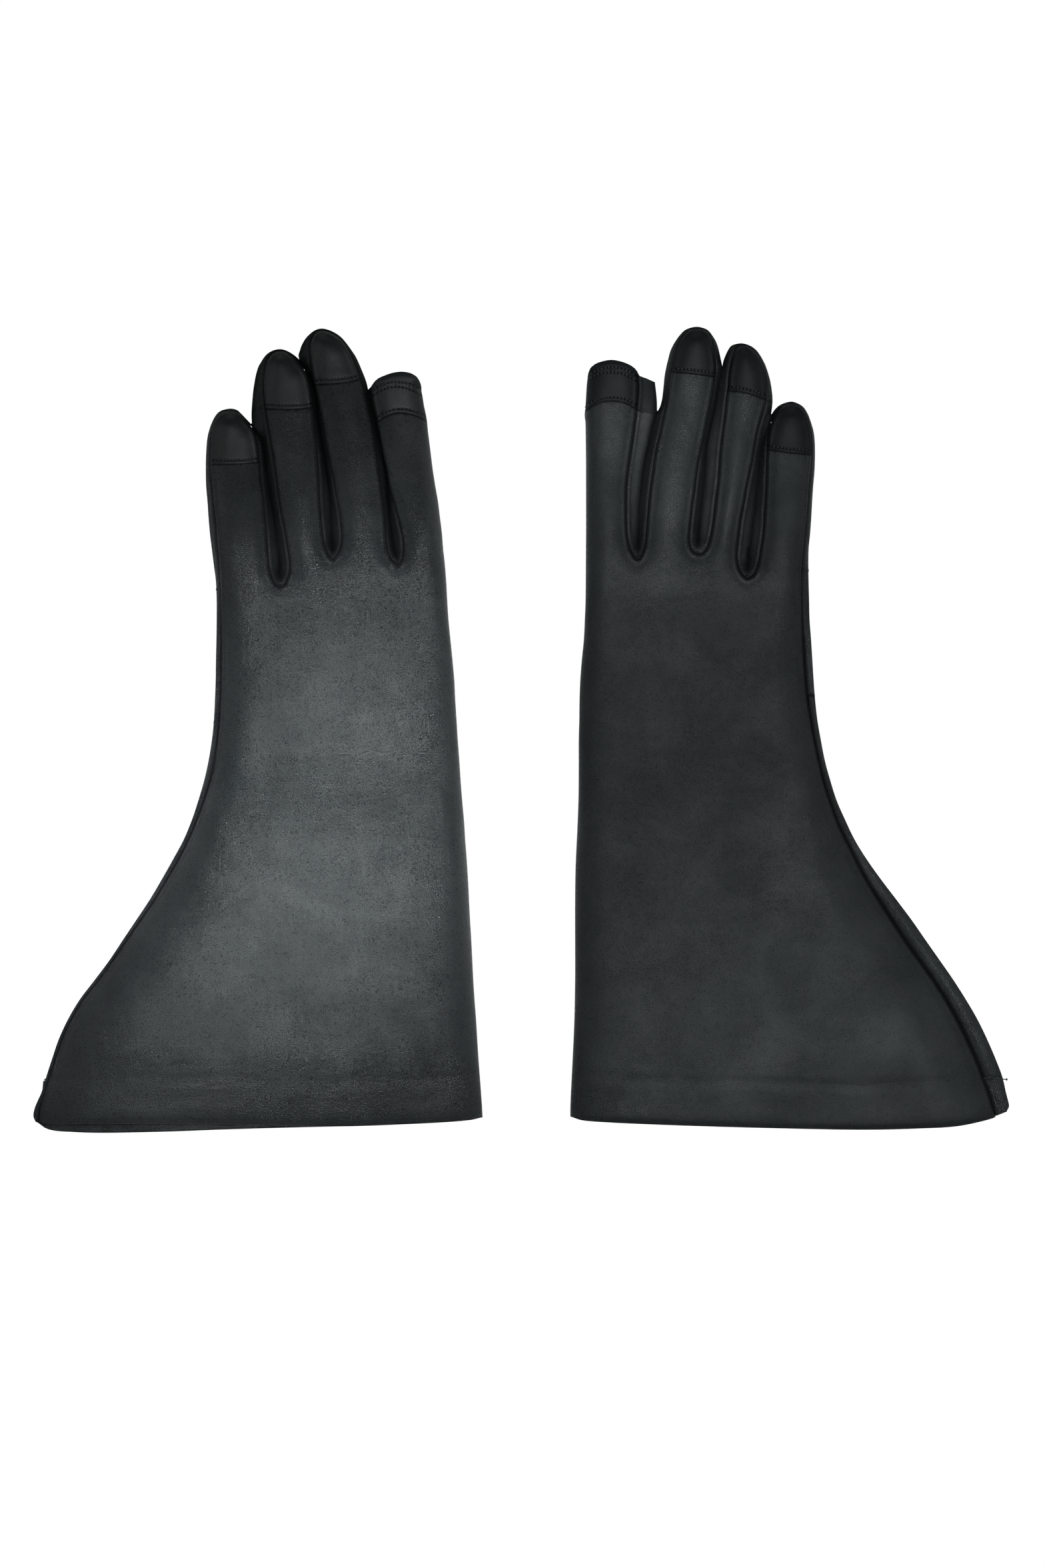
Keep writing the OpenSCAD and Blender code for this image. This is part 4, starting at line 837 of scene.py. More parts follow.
def recalc(ob):
    import bmesh
    bm = bmesh.new()
    bm.from_mesh(ob.data)
    bmesh.ops.recalc_face_normals(bm, faces=bm.faces)
    bm.to_mesh(ob.data)
    bm.free()


def capsule(p, d, n, length, width, height, seg=8):
    """A small stitch: an arched bead lying along d with its back to n."""
    d = np.array(d, float); d /= np.linalg.norm(d)
    n = np.array(n, float); n -= d * np.dot(n, d); n /= np.linalg.norm(n)
    s = np.cross(n, d)
    rings, v, f = [(-1, 0.05), (-0.86, 0.5), (-0.5, 0.88), (0, 1), (0.5, 0.88), (0.86, 0.5), (1, 0.05)], [], []
    for a, r in rings:
        rise = height * (1 - a * a) ** 0.8
        for k in range(seg):
            t = 2 * math.pi * k / seg
            v.append(np.array(p) + d * a * length / 2 + s * math.cos(t) * width / 2 * r + n * (math.sin(t) * height * 0.6 * r + rise * 0.55 - height * 0.35))
    for i in range(len(rings) - 1):
        for k in range(seg):
            a, b = i * seg + k, i * seg + (k + 1) % seg
            f.append([a, b, b + seg, a + seg])
    f.append(list(range(seg))[::-1])
    f.append([(len(rings) - 1) * seg + k for k in range(seg)])
    return v, f


def stitches(glove, name, rows, finger, material, length=0.95, width=0.45):
    """Rows of topstitching that lie on the leather."""
    v, f, n = [], [], 0
    for line, start, stop in rows:
        line = resample(line, 0.1)
        seg = np.concatenate([[0], np.cumsum(np.linalg.norm(np.diff(line, axis=0), axis=1))])
        u = np.arange(start, seg[-1] - stop, 1.45)
        x, y = np.interp(u, seg, line[:, 0]), np.interp(u, seg, line[:, 1])
        q = np.stack([x, y], 1)
        ok = inside(glove.back, q)
        dT = glove.T(q)[0]
        ok &= dT > 1.4
        q = q[ok]
        if len(q) == 0:
            continue
        t = np.stack([np.interp(u[ok] + 0.3, seg, line[:, 0]), np.interp(u[ok] + 0.3, seg, line[:, 1])], 1) - q
        t /= np.linalg.norm(t, axis=1)[:, None]
        e = 0.4
        z0 = glove.z_top(q, "back", finger)
        z1 = glove.z_top(q + t * e, "back", finger)
        zx = (glove.z_top(q + [e, 0], "back", finger) - glove.z_top(q - [e, 0], "back", finger)) / (2 * e)
        zy = (glove.z_top(q + [0, e], "back", finger) - glove.z_top(q - [0, e], "back", finger)) / (2 * e)
        for i in range(len(q)):
            nn = np.array([-zx[i], -zy[i], 1.0])
            dd = np.array([t[i, 0], t[i, 1], (z1[i] - z0[i]) / e])
            a, b = capsule([q[i, 0], q[i, 1], z0[i]], dd, nn, length, width, 0.34)
            v += a
            f += [[k + n for k in face] for face in b]
            n += len(a)
    if not v:
        return None
    ob = make_object(name, v, f, material)
    return ob


# ---- materials ------------------------------------------------------------
def srgb(r, g, b):
    return tuple(((c / 255) / 12.92 if c / 255 <= 0.04045 else ((c / 255 + 0.055) / 1.055) ** 2.4) for c in (r, g, b)) + (1.0,)


def leather(name, dark, light, grain=1.0, rough=(0.42, 0.56), pebble=0.9, sheen=0.0, spec=0.5, valley_shade=0.0, relief=0.00013, mottle=0.1, seed=0.0):
    """Black glove leather: pebble grain, fine pores, worn and matt patches, and the stitched seams, with painted shade
    in the seam grooves, the stitch holes, under the lapped fingertip edges and near the folds.
    """
    m = bpy.data.materials.new(name)
    m.use_nodes = True
    nt = m.node_tree
    N, Lk = nt.nodes, nt.links
    bsdf = N["Principled BSDF"]

    def attribute(key):
        n = N.new("ShaderNodeAttribute")
        n.attribute_name = key
        return n.outputs["Vector"]

    def parts(src):
        n = N.new("ShaderNodeSeparateXYZ")
        Lk.new(src, n.inputs[0])
        return n.outputs[0], n.outputs[1], n.outputs[2]

    rest = attribute("rest_mm")
    shift = N.new("ShaderNodeVectorMath"); shift.operation = "ADD"; shift.inputs[1].default_value = (seed * 31.7, seed * 17.1, 0)
    Lk.new(rest, shift.inputs[0])
    co = shift.outputs[0]

    def noise(scale, detail=3.0, r=0.55, dist=0.0):
        n = N.new("ShaderNodeTexNoise")
        n.inputs["Scale"].default_value = scale
        n.inputs["Detail"].default_value = detail
        n.inputs["Roughness"].default_value = r
        n.inputs["Distortion"].default_value = dist
        Lk.new(co, n.inputs["Vector"])
        return n.outputs["Fac"]

    def ramp(src, a, b, lo, hi):
        r = N.new("ShaderNodeMapRange")
        r.inputs["From Min"].default_value, r.inputs["From Max"].default_value = a, b
        r.inputs["To Min"].default_value, r.inputs["To Max"].default_value = lo, hi
        Lk.new(src, r.inputs["Value"])
        return r.outputs["Result"]

    def math_(op, a, b=None):
        n = N.new("ShaderNodeMath"); n.operation = op
        for i, q in enumerate((a, b)):
            if isinstance(q, (int, float)):
                n.inputs[i].default_value = q
            elif q is not None:
                Lk.new(q, n.inputs[i])
        return n.outputs[0]

    def near(src, at, core, reach):
        """1 on the line src = at, falling to 0 at reach."""
        return ramp(math_("ABSOLUTE", math_("SUBTRACT", src, at)), core, reach, 1.0, 0.0)

    def beat(src, pitch):
        return math_("ADD", math_("MULTIPLY", math_("COSINE", math_("MULTIPLY", src, 2 * math.pi / pitch)), 0.5), 0.5)

    # pebble cells, bent a little so that they don't line up
    warp = N.new("ShaderNodeTexNoise"); warp.inputs["Scale"].default_value = 1.3; warp.inputs["Detail"].default_value = 2
    Lk.new(co, warp.inputs["Vector"])
    wm = N.new("ShaderNodeVectorMath"); wm.operation = "SCALE"; wm.inputs["Scale"].default_value = 0.35
    Lk.new(warp.outputs["Color"], wm.inputs[0])
    wa = N.new("ShaderNodeVectorMath"); wa.operation = "ADD"
    Lk.new(co, wa.inputs[0]); Lk.new(wm.outputs[0], wa.inputs[1])

    def cells(feature, size):
        v = N.new("ShaderNodeTexVoronoi"); v.feature = feature; v.inputs["Scale"].default_value = 1.0 / size
        Lk.new(wa.outputs[0], v.inputs["Vector"])
        return v.outputs["Distance"]

    cell = ramp(cells("F1", pebble), 0.1, 0.8, 1.0, 0.0)
    edge = ramp(cells("DISTANCE_TO_EDGE", pebble), 0.0, 0.11, 0.0, 1.0)
    edge2 = ramp(cells("DISTANCE_TO_EDGE", pebble * 0.46), 0.0, 0.12, 0.0, 1.0)
    patch = ramp(noise(0.045, 2, 0.5), 0.35, 0.65, 0.65, 1.0)     # the grain is finer in some places
    fine = noise(3.6, 4, 0.65)
    mid = noise(0.5, 3, 0.55)

    h = math_("ADD", math_("ADD", math_("MULTIPLY", cell, 0.40), math_("MULTIPLY", edge, 0.55)), math_("MULTIPLY", edge2, 0.28))
    h = math_("MULTIPLY", h, math_("MULTIPLY", patch, grain))
    h = math_("ADD", h, math_("MULTIPLY", fine, 0.30))
    h = math_("ADD", h, math_("MULTIPLY", mid, 0.40))

    # seams: the groove where two pieces meet, darkened as painted shade, and the hole at each stitch, dented into the
    # bump and darkened as painted shade
    dT, sT, dS = parts(attribute("seam_mm"))
    dC, sC, dE = parts(attribute("cap_mm"))
    rx = parts(rest)[0]
    groove = ramp(dT, 0.05, 0.52, 1.0, 0.0)
    hole = math_("MULTIPLY", near(dT, 0.85, 0.05, 0.40), beat(sT, 1.55))
    # painted shadow: a dark line just below the lapped edge of the fingertip piece, used only in the colour
    line = near(dC, -0.10, 0.08, 0.42)
    holes = math_("MULTIPLY", near(dC, 1.75, 0.10, 0.52), math_("SUBTRACT", 1.0, math_("MULTIPLY", beat(sC, 1.45), 0.92)))
    rim = math_("MULTIPLY", near(dE, 1.0, 0.10, 0.50), math_("SUBTRACT", 1.0, math_("MULTIPLY", beat(rx, 1.45), 0.92)))
    holes = math_("MAXIMUM", holes, rim)
    h = math_("SUBTRACT", h, math_("MULTIPLY", hole, 0.7))
    h = math_("SUBTRACT", h, math_("MULTIPLY", holes, 2.2))
    bump = N.new("ShaderNodeBump")
    bump.inputs["Strength"].default_value = 0.85
    bump.inputs["Distance"].default_value = relief
    Lk.new(h, bump.inputs["Height"])
    Lk.new(bump.outputs["Normal"], bsdf.inputs["Normal"])

    # colour: two near-blacks in soft patches, a little greyer on top of the pebbles
    mix = N.new("ShaderNodeMix"); mix.data_type = "RGBA"
    mix.inputs["A"].default_value, mix.inputs["B"].default_value = dark, light
    tone = math_("ADD", math_("MULTIPLY", ramp(noise(0.035, 3, 0.6, 0.4), 0.3, 0.7, 0.0, 1.0), 0.5), math_("MULTIPLY", ramp(noise(0.9, 3, 0.6), 0.3, 0.7, 0.0, 1.0), 0.2))
    tone = math_("ADD", tone, math_("MULTIPLY", edge, 0.3 * grain))
    Lk.new(tone, mix.inputs["Factor"])
    # painted shade: the base colour is darkened in the seam groove and at the stitch holes along it
    keep = math_("SUBTRACT", 1.0, math_("MULTIPLY", groove, 0.72))
    keep = math_("MULTIPLY", keep, math_("SUBTRACT", 1.0, math_("MULTIPLY", hole, 0.28)))
    # painted shadow under the lapped edge of the fingertip piece
    keep = math_("MULTIPLY", keep, math_("SUBTRACT", 1.0, math_("MULTIPLY", line, 0.62)))
    # painted shade in the stitch holes of the fingertip rows and the index rim rows
    keep = math_("MULTIPLY", keep, math_("SUBTRACT", 1.0, math_("MULTIPLY", holes, 0.88)))
    keep = math_("MULTIPLY", keep, ramp(edge, 0.0, 1.0, 1.0 - 0.62 * grain, 1.0))
    # painted shade: the base colour darkens towards the folds, in the valleys between the fingers
    if valley_shade:
        keep = math_("MULTIPLY", keep, math_("SUBTRACT", 1.0, math_("MULTIPLY", ramp(dS, 0.2, 2.2, 1.0, 0.0), valley_shade)))
    shade = N.new("ShaderNodeMix"); shade.data_type = "RGBA"
    shade.inputs["A"].default_value = (0.0012, 0.0014, 0.0016, 1)
    Lk.new(keep, shade.inputs["Factor"])
    Lk.new(mix.outputs["Result"], shade.inputs["B"])
    Lk.new(shade.outputs["Result"], bsdf.inputs["Base Color"])
    rr = math_("ADD", math_("MULTIPLY", noise(0.06, 3, 0.6, 0.3), 0.6), math_("MULTIPLY", fine, 0.4))
    dull = math_("ADD", math_("MULTIPLY", groove, 0.3), ramp(edge, 0.0, 1.0, 0.16 * grain, 0.0))
    Lk.new(math_("ADD", ramp(rr, 0.3, 0.7, rough[0], rough[1]), dull), bsdf.inputs["Roughness"])
    worn = math_("MULTIPLY", ramp(noise(0.05, 4, 0.6, 0.6), 0.34, 0.66, 1.0 - mottle, 1.0 + mottle), spec)     # handled patches shine more
    Lk.new(math_("MULTIPLY", ramp(keep, 0.0, 1.0, 0.25, 1.0), worn), bsdf.inputs["Specular IOR Level"])
    if sheen:
        bsdf.inputs["Sheen Weight"].default_value = sheen
        bsdf.inputs["Sheen Roughness"].default_value = 0.5
    return m


def thread_material(name):
    m = bpy.data.materials.new(name)
    m.use_nodes = True
    nt = m.node_tree
    N, Lk = nt.nodes, nt.links
    bsdf = N["Principled BSDF"]
    at = N.new("ShaderNodeAttribute"); at.attribute_name = "rest_mm"
    w = N.new("ShaderNodeTexWave"); w.inputs["Scale"].default_value = 1.6; w.inputs["Distortion"].default_value = 0.6
    w.bands_direction = "DIAGONAL"
    Lk.new(at.outputs["Vector"], w.inputs["Vector"])
    mix = N.new("ShaderNodeMix"); mix.data_type = "RGBA"
    mix.inputs["A"].default_value, mix.inputs["B"].default_value = srgb(24, 26, 28), srgb(52, 55, 58)
    Lk.new(w.outputs["Fac"], mix.inputs["Factor"])
    Lk.new(mix.outputs["Result"], bsdf.inputs["Base Color"])
    bump = N.new("ShaderNodeBump"); bump.inputs["Strength"].default_value = 0.6; bump.inputs["Distance"].default_value = 0.00008
    Lk.new(w.outputs["Fac"], bump.inputs["Height"])
    Lk.new(bump.outputs["Normal"], bsdf.inputs["Normal"])
    bsdf.inputs["Roughness"].default_value = 0.62
    return m


MAT = {
    "left": leather("left_leather", srgb(17, 21, 22), srgb(31, 37, 39), grain=1.0, rough=(0.27, 0.37), pebble=0.74, spec=0.66, relief=0.00027, mottle=0.15, seed=1),
    "right": leather("right_leather", srgb(17, 20, 21), srgb(28, 33, 34), grain=0.75, rough=(0.34, 0.47), pebble=0.60, spec=0.33, relief=0.00014, mottle=0.14, seed=2),
    "left_tip": leather("left_tip_leather", srgb(18, 21, 22), srgb(28, 32, 34), grain=0.35, rough=(0.42, 0.54), pebble=0.8, spec=0.48, seed=3),
    "right_tip": leather("right_tip_leather", srgb(14, 16, 18), srgb(22, 25, 27), grain=0.3, rough=(0.48, 0.60), pebble=0.8, spec=0.13, seed=4),
    # the side pieces carry painted shade down their fold valleys
    "side": leather("side_leather", srgb(14, 17, 18), srgb(25, 29, 31), grain=0.5, rough=(0.36, 0.50), pebble=0.60, spec=0.31, valley_shade=0.75, seed=5),
    "thread": thread_material("black_thread"),
}


# ---- build the gloves -----------------------------------------------------
def below(line, pts):
    o = np.argsort(line[:, 0])
    return pts[:, 1] < np.interp(pts[:, 0], line[o, 0], line[o, 1])


def build(side):
    g = Glove(side)
    c = g.c
    order = c["order"]
    TV, TF, tc, tf = g.triangulate("top")
    BV, BF, bc, bf = g.triangulate("bottom")
    back = inside(g.back, tc)
    # lower strips between the outline and the lower seams
    strip = np.full(len(BF), -1)
    for i, (name, sgn, wrap, poly) in enumerate(g.strips):
        strip[inside(poly, bc) & (strip < 0)] = i
    wrap_ids = [i for i, s in enumerate(g.strips) if s[2]]
    is_wrap = np.isin(strip, wrap_ids)
    outer_d = Field([(g.outer_edge, [0.0])])(tc)[0]
    all_d = g.S(tc)[0]
    near_outer = outer_d <= all_d + 1e-3
    mat, tip = MAT[side], MAT[side + "_tip"]
    P = side + "_"

    def blend_wrist(ob):
        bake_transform(ob)

    # back of the hand and gauntlet
    b = Builder(g)
    b.add("top", TV, TF[back & (tf < 0)], "back", None)
    b.hem("top", "cuff_back", 16.0, 1)
    b.add("bottom", BV, BF[is_wrap & (bf < 0)], "side", None)
    ob = b.make(P + "back_panel", mat)
    blend_wrist(ob)
    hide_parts(P + "gauntlet_back", P + "hand_back")

    # palm side, with the strip that shows outside the seam on the little-finger side
    b = Builder(g)
    b.add("bottom", BV, BF[(strip < 0) & (bf < 0)], "panel", None)
    b.add("top", TV, TF[~back & (tf < 0) & near_outer], "side", None)
    b.hem("bottom", "cuff_palm", 16.0, 1)
    for y0 in c["cross"]:
        # a short seam across the strip, turned up into a bump at the edge
        T, S = g.l["t_pinky_out"], g.outer_edge
        T, S = T[T[:, 1] < 90], S[(S[:, 1] < 90)]
        xa, xb = float(interp_y(T, y0)), float(interp_y(S, y0))
        u = np.linspace(0.06, 1.0, 12)
        q = np.stack([xa + (xb - xa) * u, y0 + 0.25 * np.sin(3 * u)], 1)
        z = g.z_top(q, "side", None) + 0.12 + 0.25 * ease((u - 0.5) / 0.5)
        for dy, r in ((0.0, 0.42), (0.62, 0.30)):
            b.piece(*tube([np.array([a[0], a[1] + dy, h]) for a, h in zip(q, z)], r))
    ob = b.make(P + "palm_panel", mat)
    blend_wrist(ob)
    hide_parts(P + "gauntlet_palm", P + "palm")

    # the webs at the roots of the fingers
    b = Builder(g)
    b.add("top", TV, TF[~back & (tf < 0) & ~near_outer], "side", None)
    b.add("bottom", BV, BF[(strip >= 0) & ~is_wrap & (bf < 0)], "side", None)
    ob = b.make(P + "finger_webs", MAT["side"])
    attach(ob, P + "hand")

    for i, name in enumerate(order):
        top, bot = tf == i, bf == i
        loop = g.loops[name]
        cut = c["cut"][name]
        xs = crossings(loop, cut)
        mid = np.array([0.5 * (xs[0] + xs[-1]), cut])
        # where the finger points
        ytip = c["tip"][name]
        near_tip = loop[loop[:, 1] > ytip - 22]
        head = np.array([0.5 * (near_tip[:, 0].min() + near_tip[:, 0].max()), ytip - 8])
        d = head - mid
        d /= np.linalg.norm(d)
        s0 = np.array([mid[0], mid[1], 8.0]) * MM
        # start where the whole cut line still belongs to the hand
        tilt = abs(d[0]) * 0.5 * (xs[-1] - xs[0])
        s0[:2] += d * tilt * MM
        e0 = s0.copy()
        e0[:2] += d * 19 * MM

        def blend_finger(ob):
            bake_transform(ob)

        cap_low = below(g.caps[name], tc)
        b = Builder(g).add("top", TV, TF[top & back & cap_low], "back", name)
        if name == "index":
            low = below(g.caps[name], bc)
            b.add("bottom", BV, BF[bot & is_wrap & low], "side", name)
        ob = b.make(P + name + "_back_skin", mat)
        blend_finger(ob)
        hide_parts(P + name + "_back")

        b = Builder(g).add("top", TV, TF[top & back & ~cap_low], "back", name)
        if name == "index":
            b.add("bottom", BV, BF[bot & ~low], "panel", name)
            b.add("top", TV, TF[top & ~back & ~cap_low], "side", name)
            b2 = Builder(g)
            b.hem("top", "end", 9.0, -1)
            b.hem("bottom", "end", 9.0, -1)
            ob = b.make(P + "index_band", tip)
            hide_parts(P + "index_end_band")
        else:
            ob = b.make(P + name + "_cap", tip)
            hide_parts(P + name + "_tip")
        blend_finger(ob)

        # the palm side of the finger
        if name == "index":
            b = Builder(g).add("bottom", BV, BF[bot & (strip < 0) & low], "panel", name)
        else:
            b = Builder(g).add("bottom", BV, BF[bot & (strip < 0)], "panel", name)
        if name == "pinky":
            b.add("top", TV, TF[top & ~back & near_outer & self_outer(g, tc)], "side", name)
        ob = b.make(P + name + "_front_skin", mat)
        blend_finger(ob)
        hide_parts(P + name + "_front")

        # side strips
        sides = []
        loop_mid = 0.5 * (loop[:, 0].min() + loop[:, 0].max())
        for part, sgn in g.sides(name):
            if name == "index" and (part is g.l["s_index"] or len(part) > 260 / g.step):
                continue
            sides.append((part, sgn))
        for part, sgn in sides:
            axis = lambda q: mid[0] + (head - mid)[0] * (q[:, 1] - mid[1]) / (head - mid)[1]
            lt = (tc[:, 0] < axis(tc)) if sgn < 0 else (tc[:, 0] >= axis(tc))
            lb = (bc[:, 0] < axis(bc)) if sgn < 0 else (bc[:, 0] >= axis(bc))
            mt = top & ~back & lt
            mb = bot & (strip >= 0) & ~is_wrap & lb
            if name == "index":
                mt &= cap_low
                mb &= low
            if name == "pinky":
                mt &= ~(near_outer & self_outer(g, tc))
            b = Builder(g).add("top", TV, TF[mt], "side", name).add("bottom", BV, BF[mb], "side", name)
            if not b.v:
                continue
            outer = (sgn < 0) == (not c["flip"])
            nm = {"pinky": "pinky_fourchette", "index": "index_fourchette"}.get(name, name + ("_fourchette_outer" if outer else "_fourchette_inner"))
            ob = b.make(P + nm + "_skin", MAT["side"])
            blend_finger(ob)
            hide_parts(P + nm)

        # topstitching
        cap = g.caps[name]
        rows = [(cap + [0, 1.75 if name != "index" else 1.9], 0.4, 0.4)]
        if name == "index":
            rows += [(r, 0.4, 0.4) for r in g.rows]
        ob = stitches(g, P + name + "_topstitch", rows, name, MAT["thread"])
        if ob is not None:
            blend_finger(ob)
            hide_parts(P + name + "_stitching")

    thumb(g, side, mat)
    tacks(g, side)
    return g


def self_outer(g, pts):
    """True on the little finger's outer side."""
    loop = g.loops["pinky"]
    tipx = g.l["s_pinky"][int(np.argmax(g.l["s_pinky"][:, 1])), 0]
    y = pts[:, 1]
    cut = g.c["cut"]["pinky"]
    f = g.folds[0] if not g.c["flip"] else g.folds[2]
    inner = interp_y(f, np.minimum(y, f[:, 1].max()))
    o = g.outer_edge
    sel = o[(o[:, 1] > cut - 3) & ((o[:, 0] < tipx) if not g.c["flip"] else (o[:, 0] > tipx))]
    outer = interp_y(sel, y)
    mid = 0.5 * (inner + outer)
    return (pts[:, 0] < mid) if not g.c["flip"] else (pts[:, 0] > mid)


def thumb(g, side, mat):
    """The thumb, folded flat under the palm: a tube with a seam along both sides."""
    rows = [(-12, 0.3), (-11, 0.5), (-8, 0.8), (-2, 1), (10, 1), (26, 0.94), (38, 0.86), (43.5, 0.72), (47, 0.52), (49, 0.32), (50, 0.06)]
    ys = np.concatenate([np.linspace(-12, -8, 8), np.linspace(-7, 40, 60), 40 + 10 * np.sin(np.linspace(0.08, 1, 22) * math.pi / 2)])
    hw = np.interp(ys, [r[0] for r in rows], [r[1] for r in rows]) * 12.0
    end = np.minimum(1, np.sqrt(np.clip((50.2 - ys) / 10, 0, 1)) * 1.15)
    hw = np.where(ys > 38, 0.86 * 12 * np.sqrt(np.clip(1 - ((ys - 38) / 12.02) ** 2, 0.0004, 1)), hw)
    px, py = g.c["thumb"]
    a = math.radians(g.c["lean"])
    ca, sa = math.cos(a), math.sin(a)
    n = 44
    for part in ("top", "underside"):
        v, f = [], []
        for j, (y, w) in enumerate(zip(ys, hw)):
            hh = 3.15 * min(1.0, 0.35 + 0.65 * math.sqrt(max(0.0, min(1.0, (50.05 - y) / 7)))) * min(1.0, 0.4 + 0.6 * math.sqrt(max(0.0, min(1, (y + 12.02) / 3))))
            for i in range(n + 1):
                t = i / n
                c0 = math.cos(math.pi * (1 - t))
                s0 = max(0.0, math.sin(math.pi * t))
                X = w * math.copysign(abs(c0) ** 0.8, c0)
                Z = hh * s0 ** 0.42
                e = min(t, 1 - t) * w * 2.2
                Z -= 0.28 * math.exp(-(e / 0.5) ** 2) - 0.22 * math.exp(-((e - 1.3) / 0.6) ** 2) * (0.6 + 0.4 * math.cos(2 * math.pi * y / 1.55))
                wr = 0.16 * math.sin(y * 0.9 + 1.5 * math.sin(t * 5)) * math.exp(-((y + 2) / 9) ** 2) + 0.12 * math.sin(y * 0.35 + t * 4)
                Z = max(0.02, Z + wr * s0)
                zc = 3.3
                z = zc + Z if part == "top" else zc - min(Z, 3.22)
                v.append((px + X * ca - y * sa, py + X * sa + y * ca, z))
        for j in range(len(ys) - 1):
            for i in range(n):
                q = [j * (n + 1) + i, j * (n + 1) + i + 1, (j + 1) * (n + 1) + i + 1, (j + 1) * (n + 1) + i]
                f.append(q if part == "top" else q[::-1])
        ob = make_object(f"{side}_thumb_{part}_skin", v, f, mat)
        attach(ob, side + "_thumb")
        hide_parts(f"{side}_thumb_{part}")
    # the gathered ring where the thumb joins the palm
    v, f, m, k = [], [], 120, 12
    for i in range(m):
        t = 2 * math.pi * i / m
        R = 9.3 + 0.25 * math.sin(t * 17) + 0.15 * math.sin(t * 5)
        for j in range(k):
            u = 2 * math.pi * j / k
            v.append((px + (R + 0.75 * math.cos(u)) * math.cos(t), py + (R + 0.75 * math.cos(u)) * math.sin(t), 6.95 + 0.42 * math.sin(u) * (1 + 0.2 * math.sin(17 * t))))
    for i in range(m):
        for j in range(k):
            a, b = i * k + j, i * k + (j + 1) % k
            c_, d_ = ((i + 1) % m) * k + (j + 1) % k, ((i + 1) % m) * k + j
            f.append([a, d_, c_, b])
    ob = make_object(f"{side}_thumb_gather", v, f, MAT["side"])
    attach(ob, side + "_hand")


def tacks(g, side):
    """A few turns of thread over the side seam at the cuff, and on the right glove a cut tail."""
    v, f, n = [], [], 0
    sgn = -1 if not g.c["flip"] else 1
    spots = {"left": [(-139.5, 3)], "right": [(-138.8, 4)]}[side]
    for y, count in spots:
        T = g.l["t_pinky_out"]
        below_ = T[T[:, 1] < 30]
        xt = interp_y(below_, y)
        S = g.outer_edge
        xs = interp_y(S[S[:, 1] < 30], y)
        for k in range(count):
            u = (k + 0.5) / count
            x = xt + (xs - xt) * (u * 0.8 if side == "right" else 0.55 + 0.5 * u)
            q = np.array([[x, y + 0.25 * (k % 2)]])
            z = g.z_top(q, "side", None)[0]
            a, b = capsule([x, q[0, 1], z + 0.1], [1, 0.12, 0], [0, 0, 1], max(1.2, abs(xs - xt) / count), 0.45, 0.35)
            v += a
            f += [[i + n for i in face] for face in b]
            n += len(a)
        if side == "left":
            continue
        # the tail
        x0, z0 = xt + (xs - xt) * 0.45, g.z_top(np.array([[xt + (xs - xt) * 0.45, y]]), "side", None)[0]
        pts = [np.array([x0, y, z0 + 0.2]), np.array([xs - sgn * 0.4, y - 0.25, 5.0]), np.array([xs + sgn * 0.5, y - 0.45, 4.4]), np.array([xs + sgn * 1.5, y - 0.5, 4.5])]
        a, b = capsule(pts[-1], [0.2, 1, 0], [0, 0, 1], 1.0, 0.7, 0.6)
        v += a
        f += [[i + n for i in face] for face in b]
        n += len(a)
        line = smooth3(pts, 24)
        a, b = tube(line, 0.2)
        v += a
        f += [[i + n for i in face] for face in b]
        n += len(a)
    ob = make_object(side + "_side_tack", v, f, MAT["thread"])
    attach(ob, side + "_gauntlet")
    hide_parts(side + "_cuff_tack")


def smooth3(pts, n):
    pts = [np.array(p, float) for p in pts]
    out = []
    for k in range(n + 1):
        t = k / n * (len(pts) - 1)
        i = min(int(t), len(pts) - 2)
        u = t - i
        p0, p1, p2, p3 = pts[max(i - 1, 0)], pts[i], pts[i + 1], pts[min(i + 2, len(pts) - 1)]
        out.append(0.5 * (2 * p1 + (p2 - p0) * u + (2 * p0 - 5 * p1 + 4 * p2 - p3) * u * u + (3 * p1 - p0 - 3 * p2 + p3) * u ** 3))
    return out


def tube(line, r, seg=8):
    v, f = [], []
    for i, p in enumerate(line):
        d = line[min(i + 1, len(line) - 1)] - line[max(i - 1, 0)]
        d = d / np.linalg.norm(d)
        a = np.cross(d, [0, 0, 1.0])
        a /= np.linalg.norm(a)
        b = np.cross(a, d)
        rr = r * (0.6 if i in (0, len(line) - 1) else 1)
        for k in range(seg):
            t = 2 * math.pi * k / seg
            v.append(p + rr * (a * math.cos(t) + b * math.sin(t)))
    for i in range(len(line) - 1):
        for k in range(seg):
            f.append([i * seg + k, i * seg + (k + 1) % seg, (i + 1) * seg + (k + 1) % seg, (i + 1) * seg + k])
    f.append(list(range(seg))[::-1])
    f.append([(len(line) - 1) * seg + k for k in range(seg)])
    return v, f


for side in ("left", "right"):
    build(side)


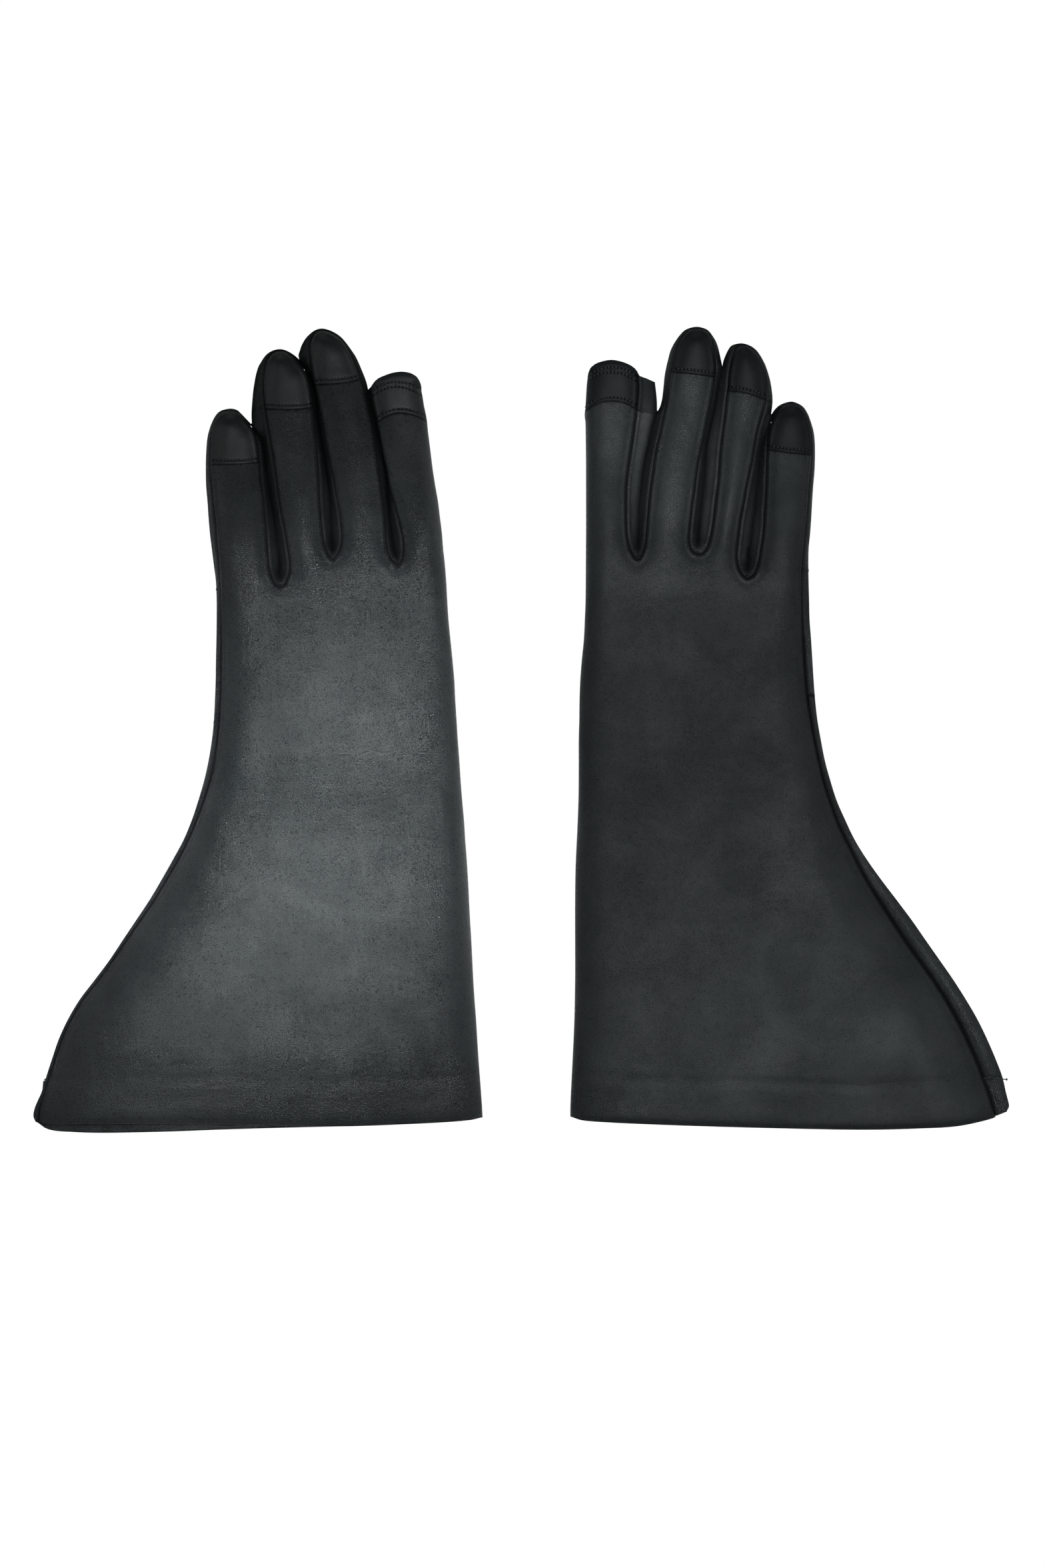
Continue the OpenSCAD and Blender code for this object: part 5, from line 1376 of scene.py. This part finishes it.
# ---- floor, light and camera ----------------------------------------------
def stage():
    me = bpy.data.meshes.new("floor")
    s = 6.0
    me.from_pydata([(-s, -s, -0.0006), (s, -s, -0.0006), (s, s, -0.0006), (-s, s, -0.0006)], [], [(0, 1, 2, 3)])
    floor = bpy.data.objects.new("floor", me)
    bpy.context.scene.collection.objects.link(floor)
    m = bpy.data.materials.new("pale_floor")
    m.use_nodes = True
    nt = m.node_tree
    nt.nodes.clear()
    out = nt.nodes.new("ShaderNodeOutputMaterial")
    mix = nt.nodes.new("ShaderNodeMixShader")
    dif = nt.nodes.new("ShaderNodeBsdfDiffuse"); dif.inputs["Color"].default_value = (0.8, 0.8, 0.8, 1)
    em = nt.nodes.new("ShaderNodeEmission"); em.inputs["Color"].default_value = (1, 1, 1, 1); em.inputs["Strength"].default_value = 1.0
    lp = nt.nodes.new("ShaderNodeLightPath")
    nt.links.new(lp.outputs["Is Camera Ray"], mix.inputs[0])
    nt.links.new(dif.outputs[0], mix.inputs[1])
    nt.links.new(em.outputs[0], mix.inputs[2])
    nt.links.new(mix.outputs[0], out.inputs[0])
    me.materials.append(m)

    w = bpy.data.worlds.new("studio")
    bpy.context.scene.world = w
    w.use_nodes = True
    nt = w.node_tree
    nt.nodes.clear()
    out = nt.nodes.new("ShaderNodeOutputWorld")
    mix = nt.nodes.new("ShaderNodeMixShader")
    amb = nt.nodes.new("ShaderNodeBackground"); amb.inputs["Color"].default_value = (0.95, 0.98, 1.0, 1); amb.inputs["Strength"].default_value = 0.055
    cam = nt.nodes.new("ShaderNodeBackground"); cam.inputs["Color"].default_value = (1, 1, 1, 1); cam.inputs["Strength"].default_value = 1.0
    lp = nt.nodes.new("ShaderNodeLightPath")
    nt.links.new(lp.outputs["Is Camera Ray"], mix.inputs[0])
    nt.links.new(amb.outputs[0], mix.inputs[1])
    nt.links.new(cam.outputs[0], mix.inputs[2])
    nt.links.new(mix.outputs[0], out.inputs[0])

    def area(name, loc, target, size, power, colour=(0.95, 1.0, 1.0), spread=180):
        d = bpy.data.lights.new(name, "AREA")
        d.shape = "RECTANGLE"
        d.size, d.size_y = size
        d.energy = power
        d.color = colour
        d.spread = math.radians(spread)
        o = bpy.data.objects.new(name, d)
        o.location = loc
        o.rotation_euler = (Vector(target) - Vector(loc)).to_track_quat("-Z", "Y").to_euler()
        o.visible_camera = False
        bpy.context.scene.collection.objects.link(o)

    area("key_hand", (-0.066, 0.03, 0.42), (-0.066, 0.03, 0), (0.06, 0.06), 0.036, spread=26)
    area("key_wrist", (-0.070, -0.05, 0.42), (-0.070, -0.05, 0), (0.06, 0.06), 0.056, spread=26)
    area("key_cuff", (-0.126, -0.11, 0.42), (-0.126, -0.11, 0), (0.06, 0.06), 0.036, spread=28)
    area("second", (0.19, -0.05, 1.0), (0.09, -0.04, 0), (0.35, 0.35), 0.46, spread=48)
    area("right_cuff", (0.25, -0.17, 0.6), (0.175, -0.12, 0), (0.10, 0.10), 0.024, spread=26)
    area("right_low", (0.05, -0.16, 0.42), (0.05, -0.15, 0), (0.08, 0.08), 0.011, spread=26)
    area("fingers", (0.074, 0.135, 0.5), (0.060, 0.112, 0), (0.06, 0.06), 0.020, spread=16)
    area("side", (0.9, 0.3, 0.7), (0, 0, 0), (0.5, 0.5), 1.4)
    area("rim", (-0.9, 0.3, 0.6), (0, 0, 0), (0.4, 0.6), 1.2)

    cd = bpy.data.cameras.new("camera")
    cam_ob = bpy.data.objects.new("camera", cd)
    dist = 2.6
    cd.lens = 36.0 * (dist - 0.010) / 0.6233
    cd.sensor_width = 36.0
    cd.clip_end = 50
    cam_ob.location = (0.00053, -0.0216, dist)
    cam_ob.rotation_euler = (0, 0, 0)
    bpy.context.scene.collection.objects.link(cam_ob)
    bpy.context.scene.camera = cam_ob
    bpy.context.scene.view_settings.view_transform = "Standard"


stage()
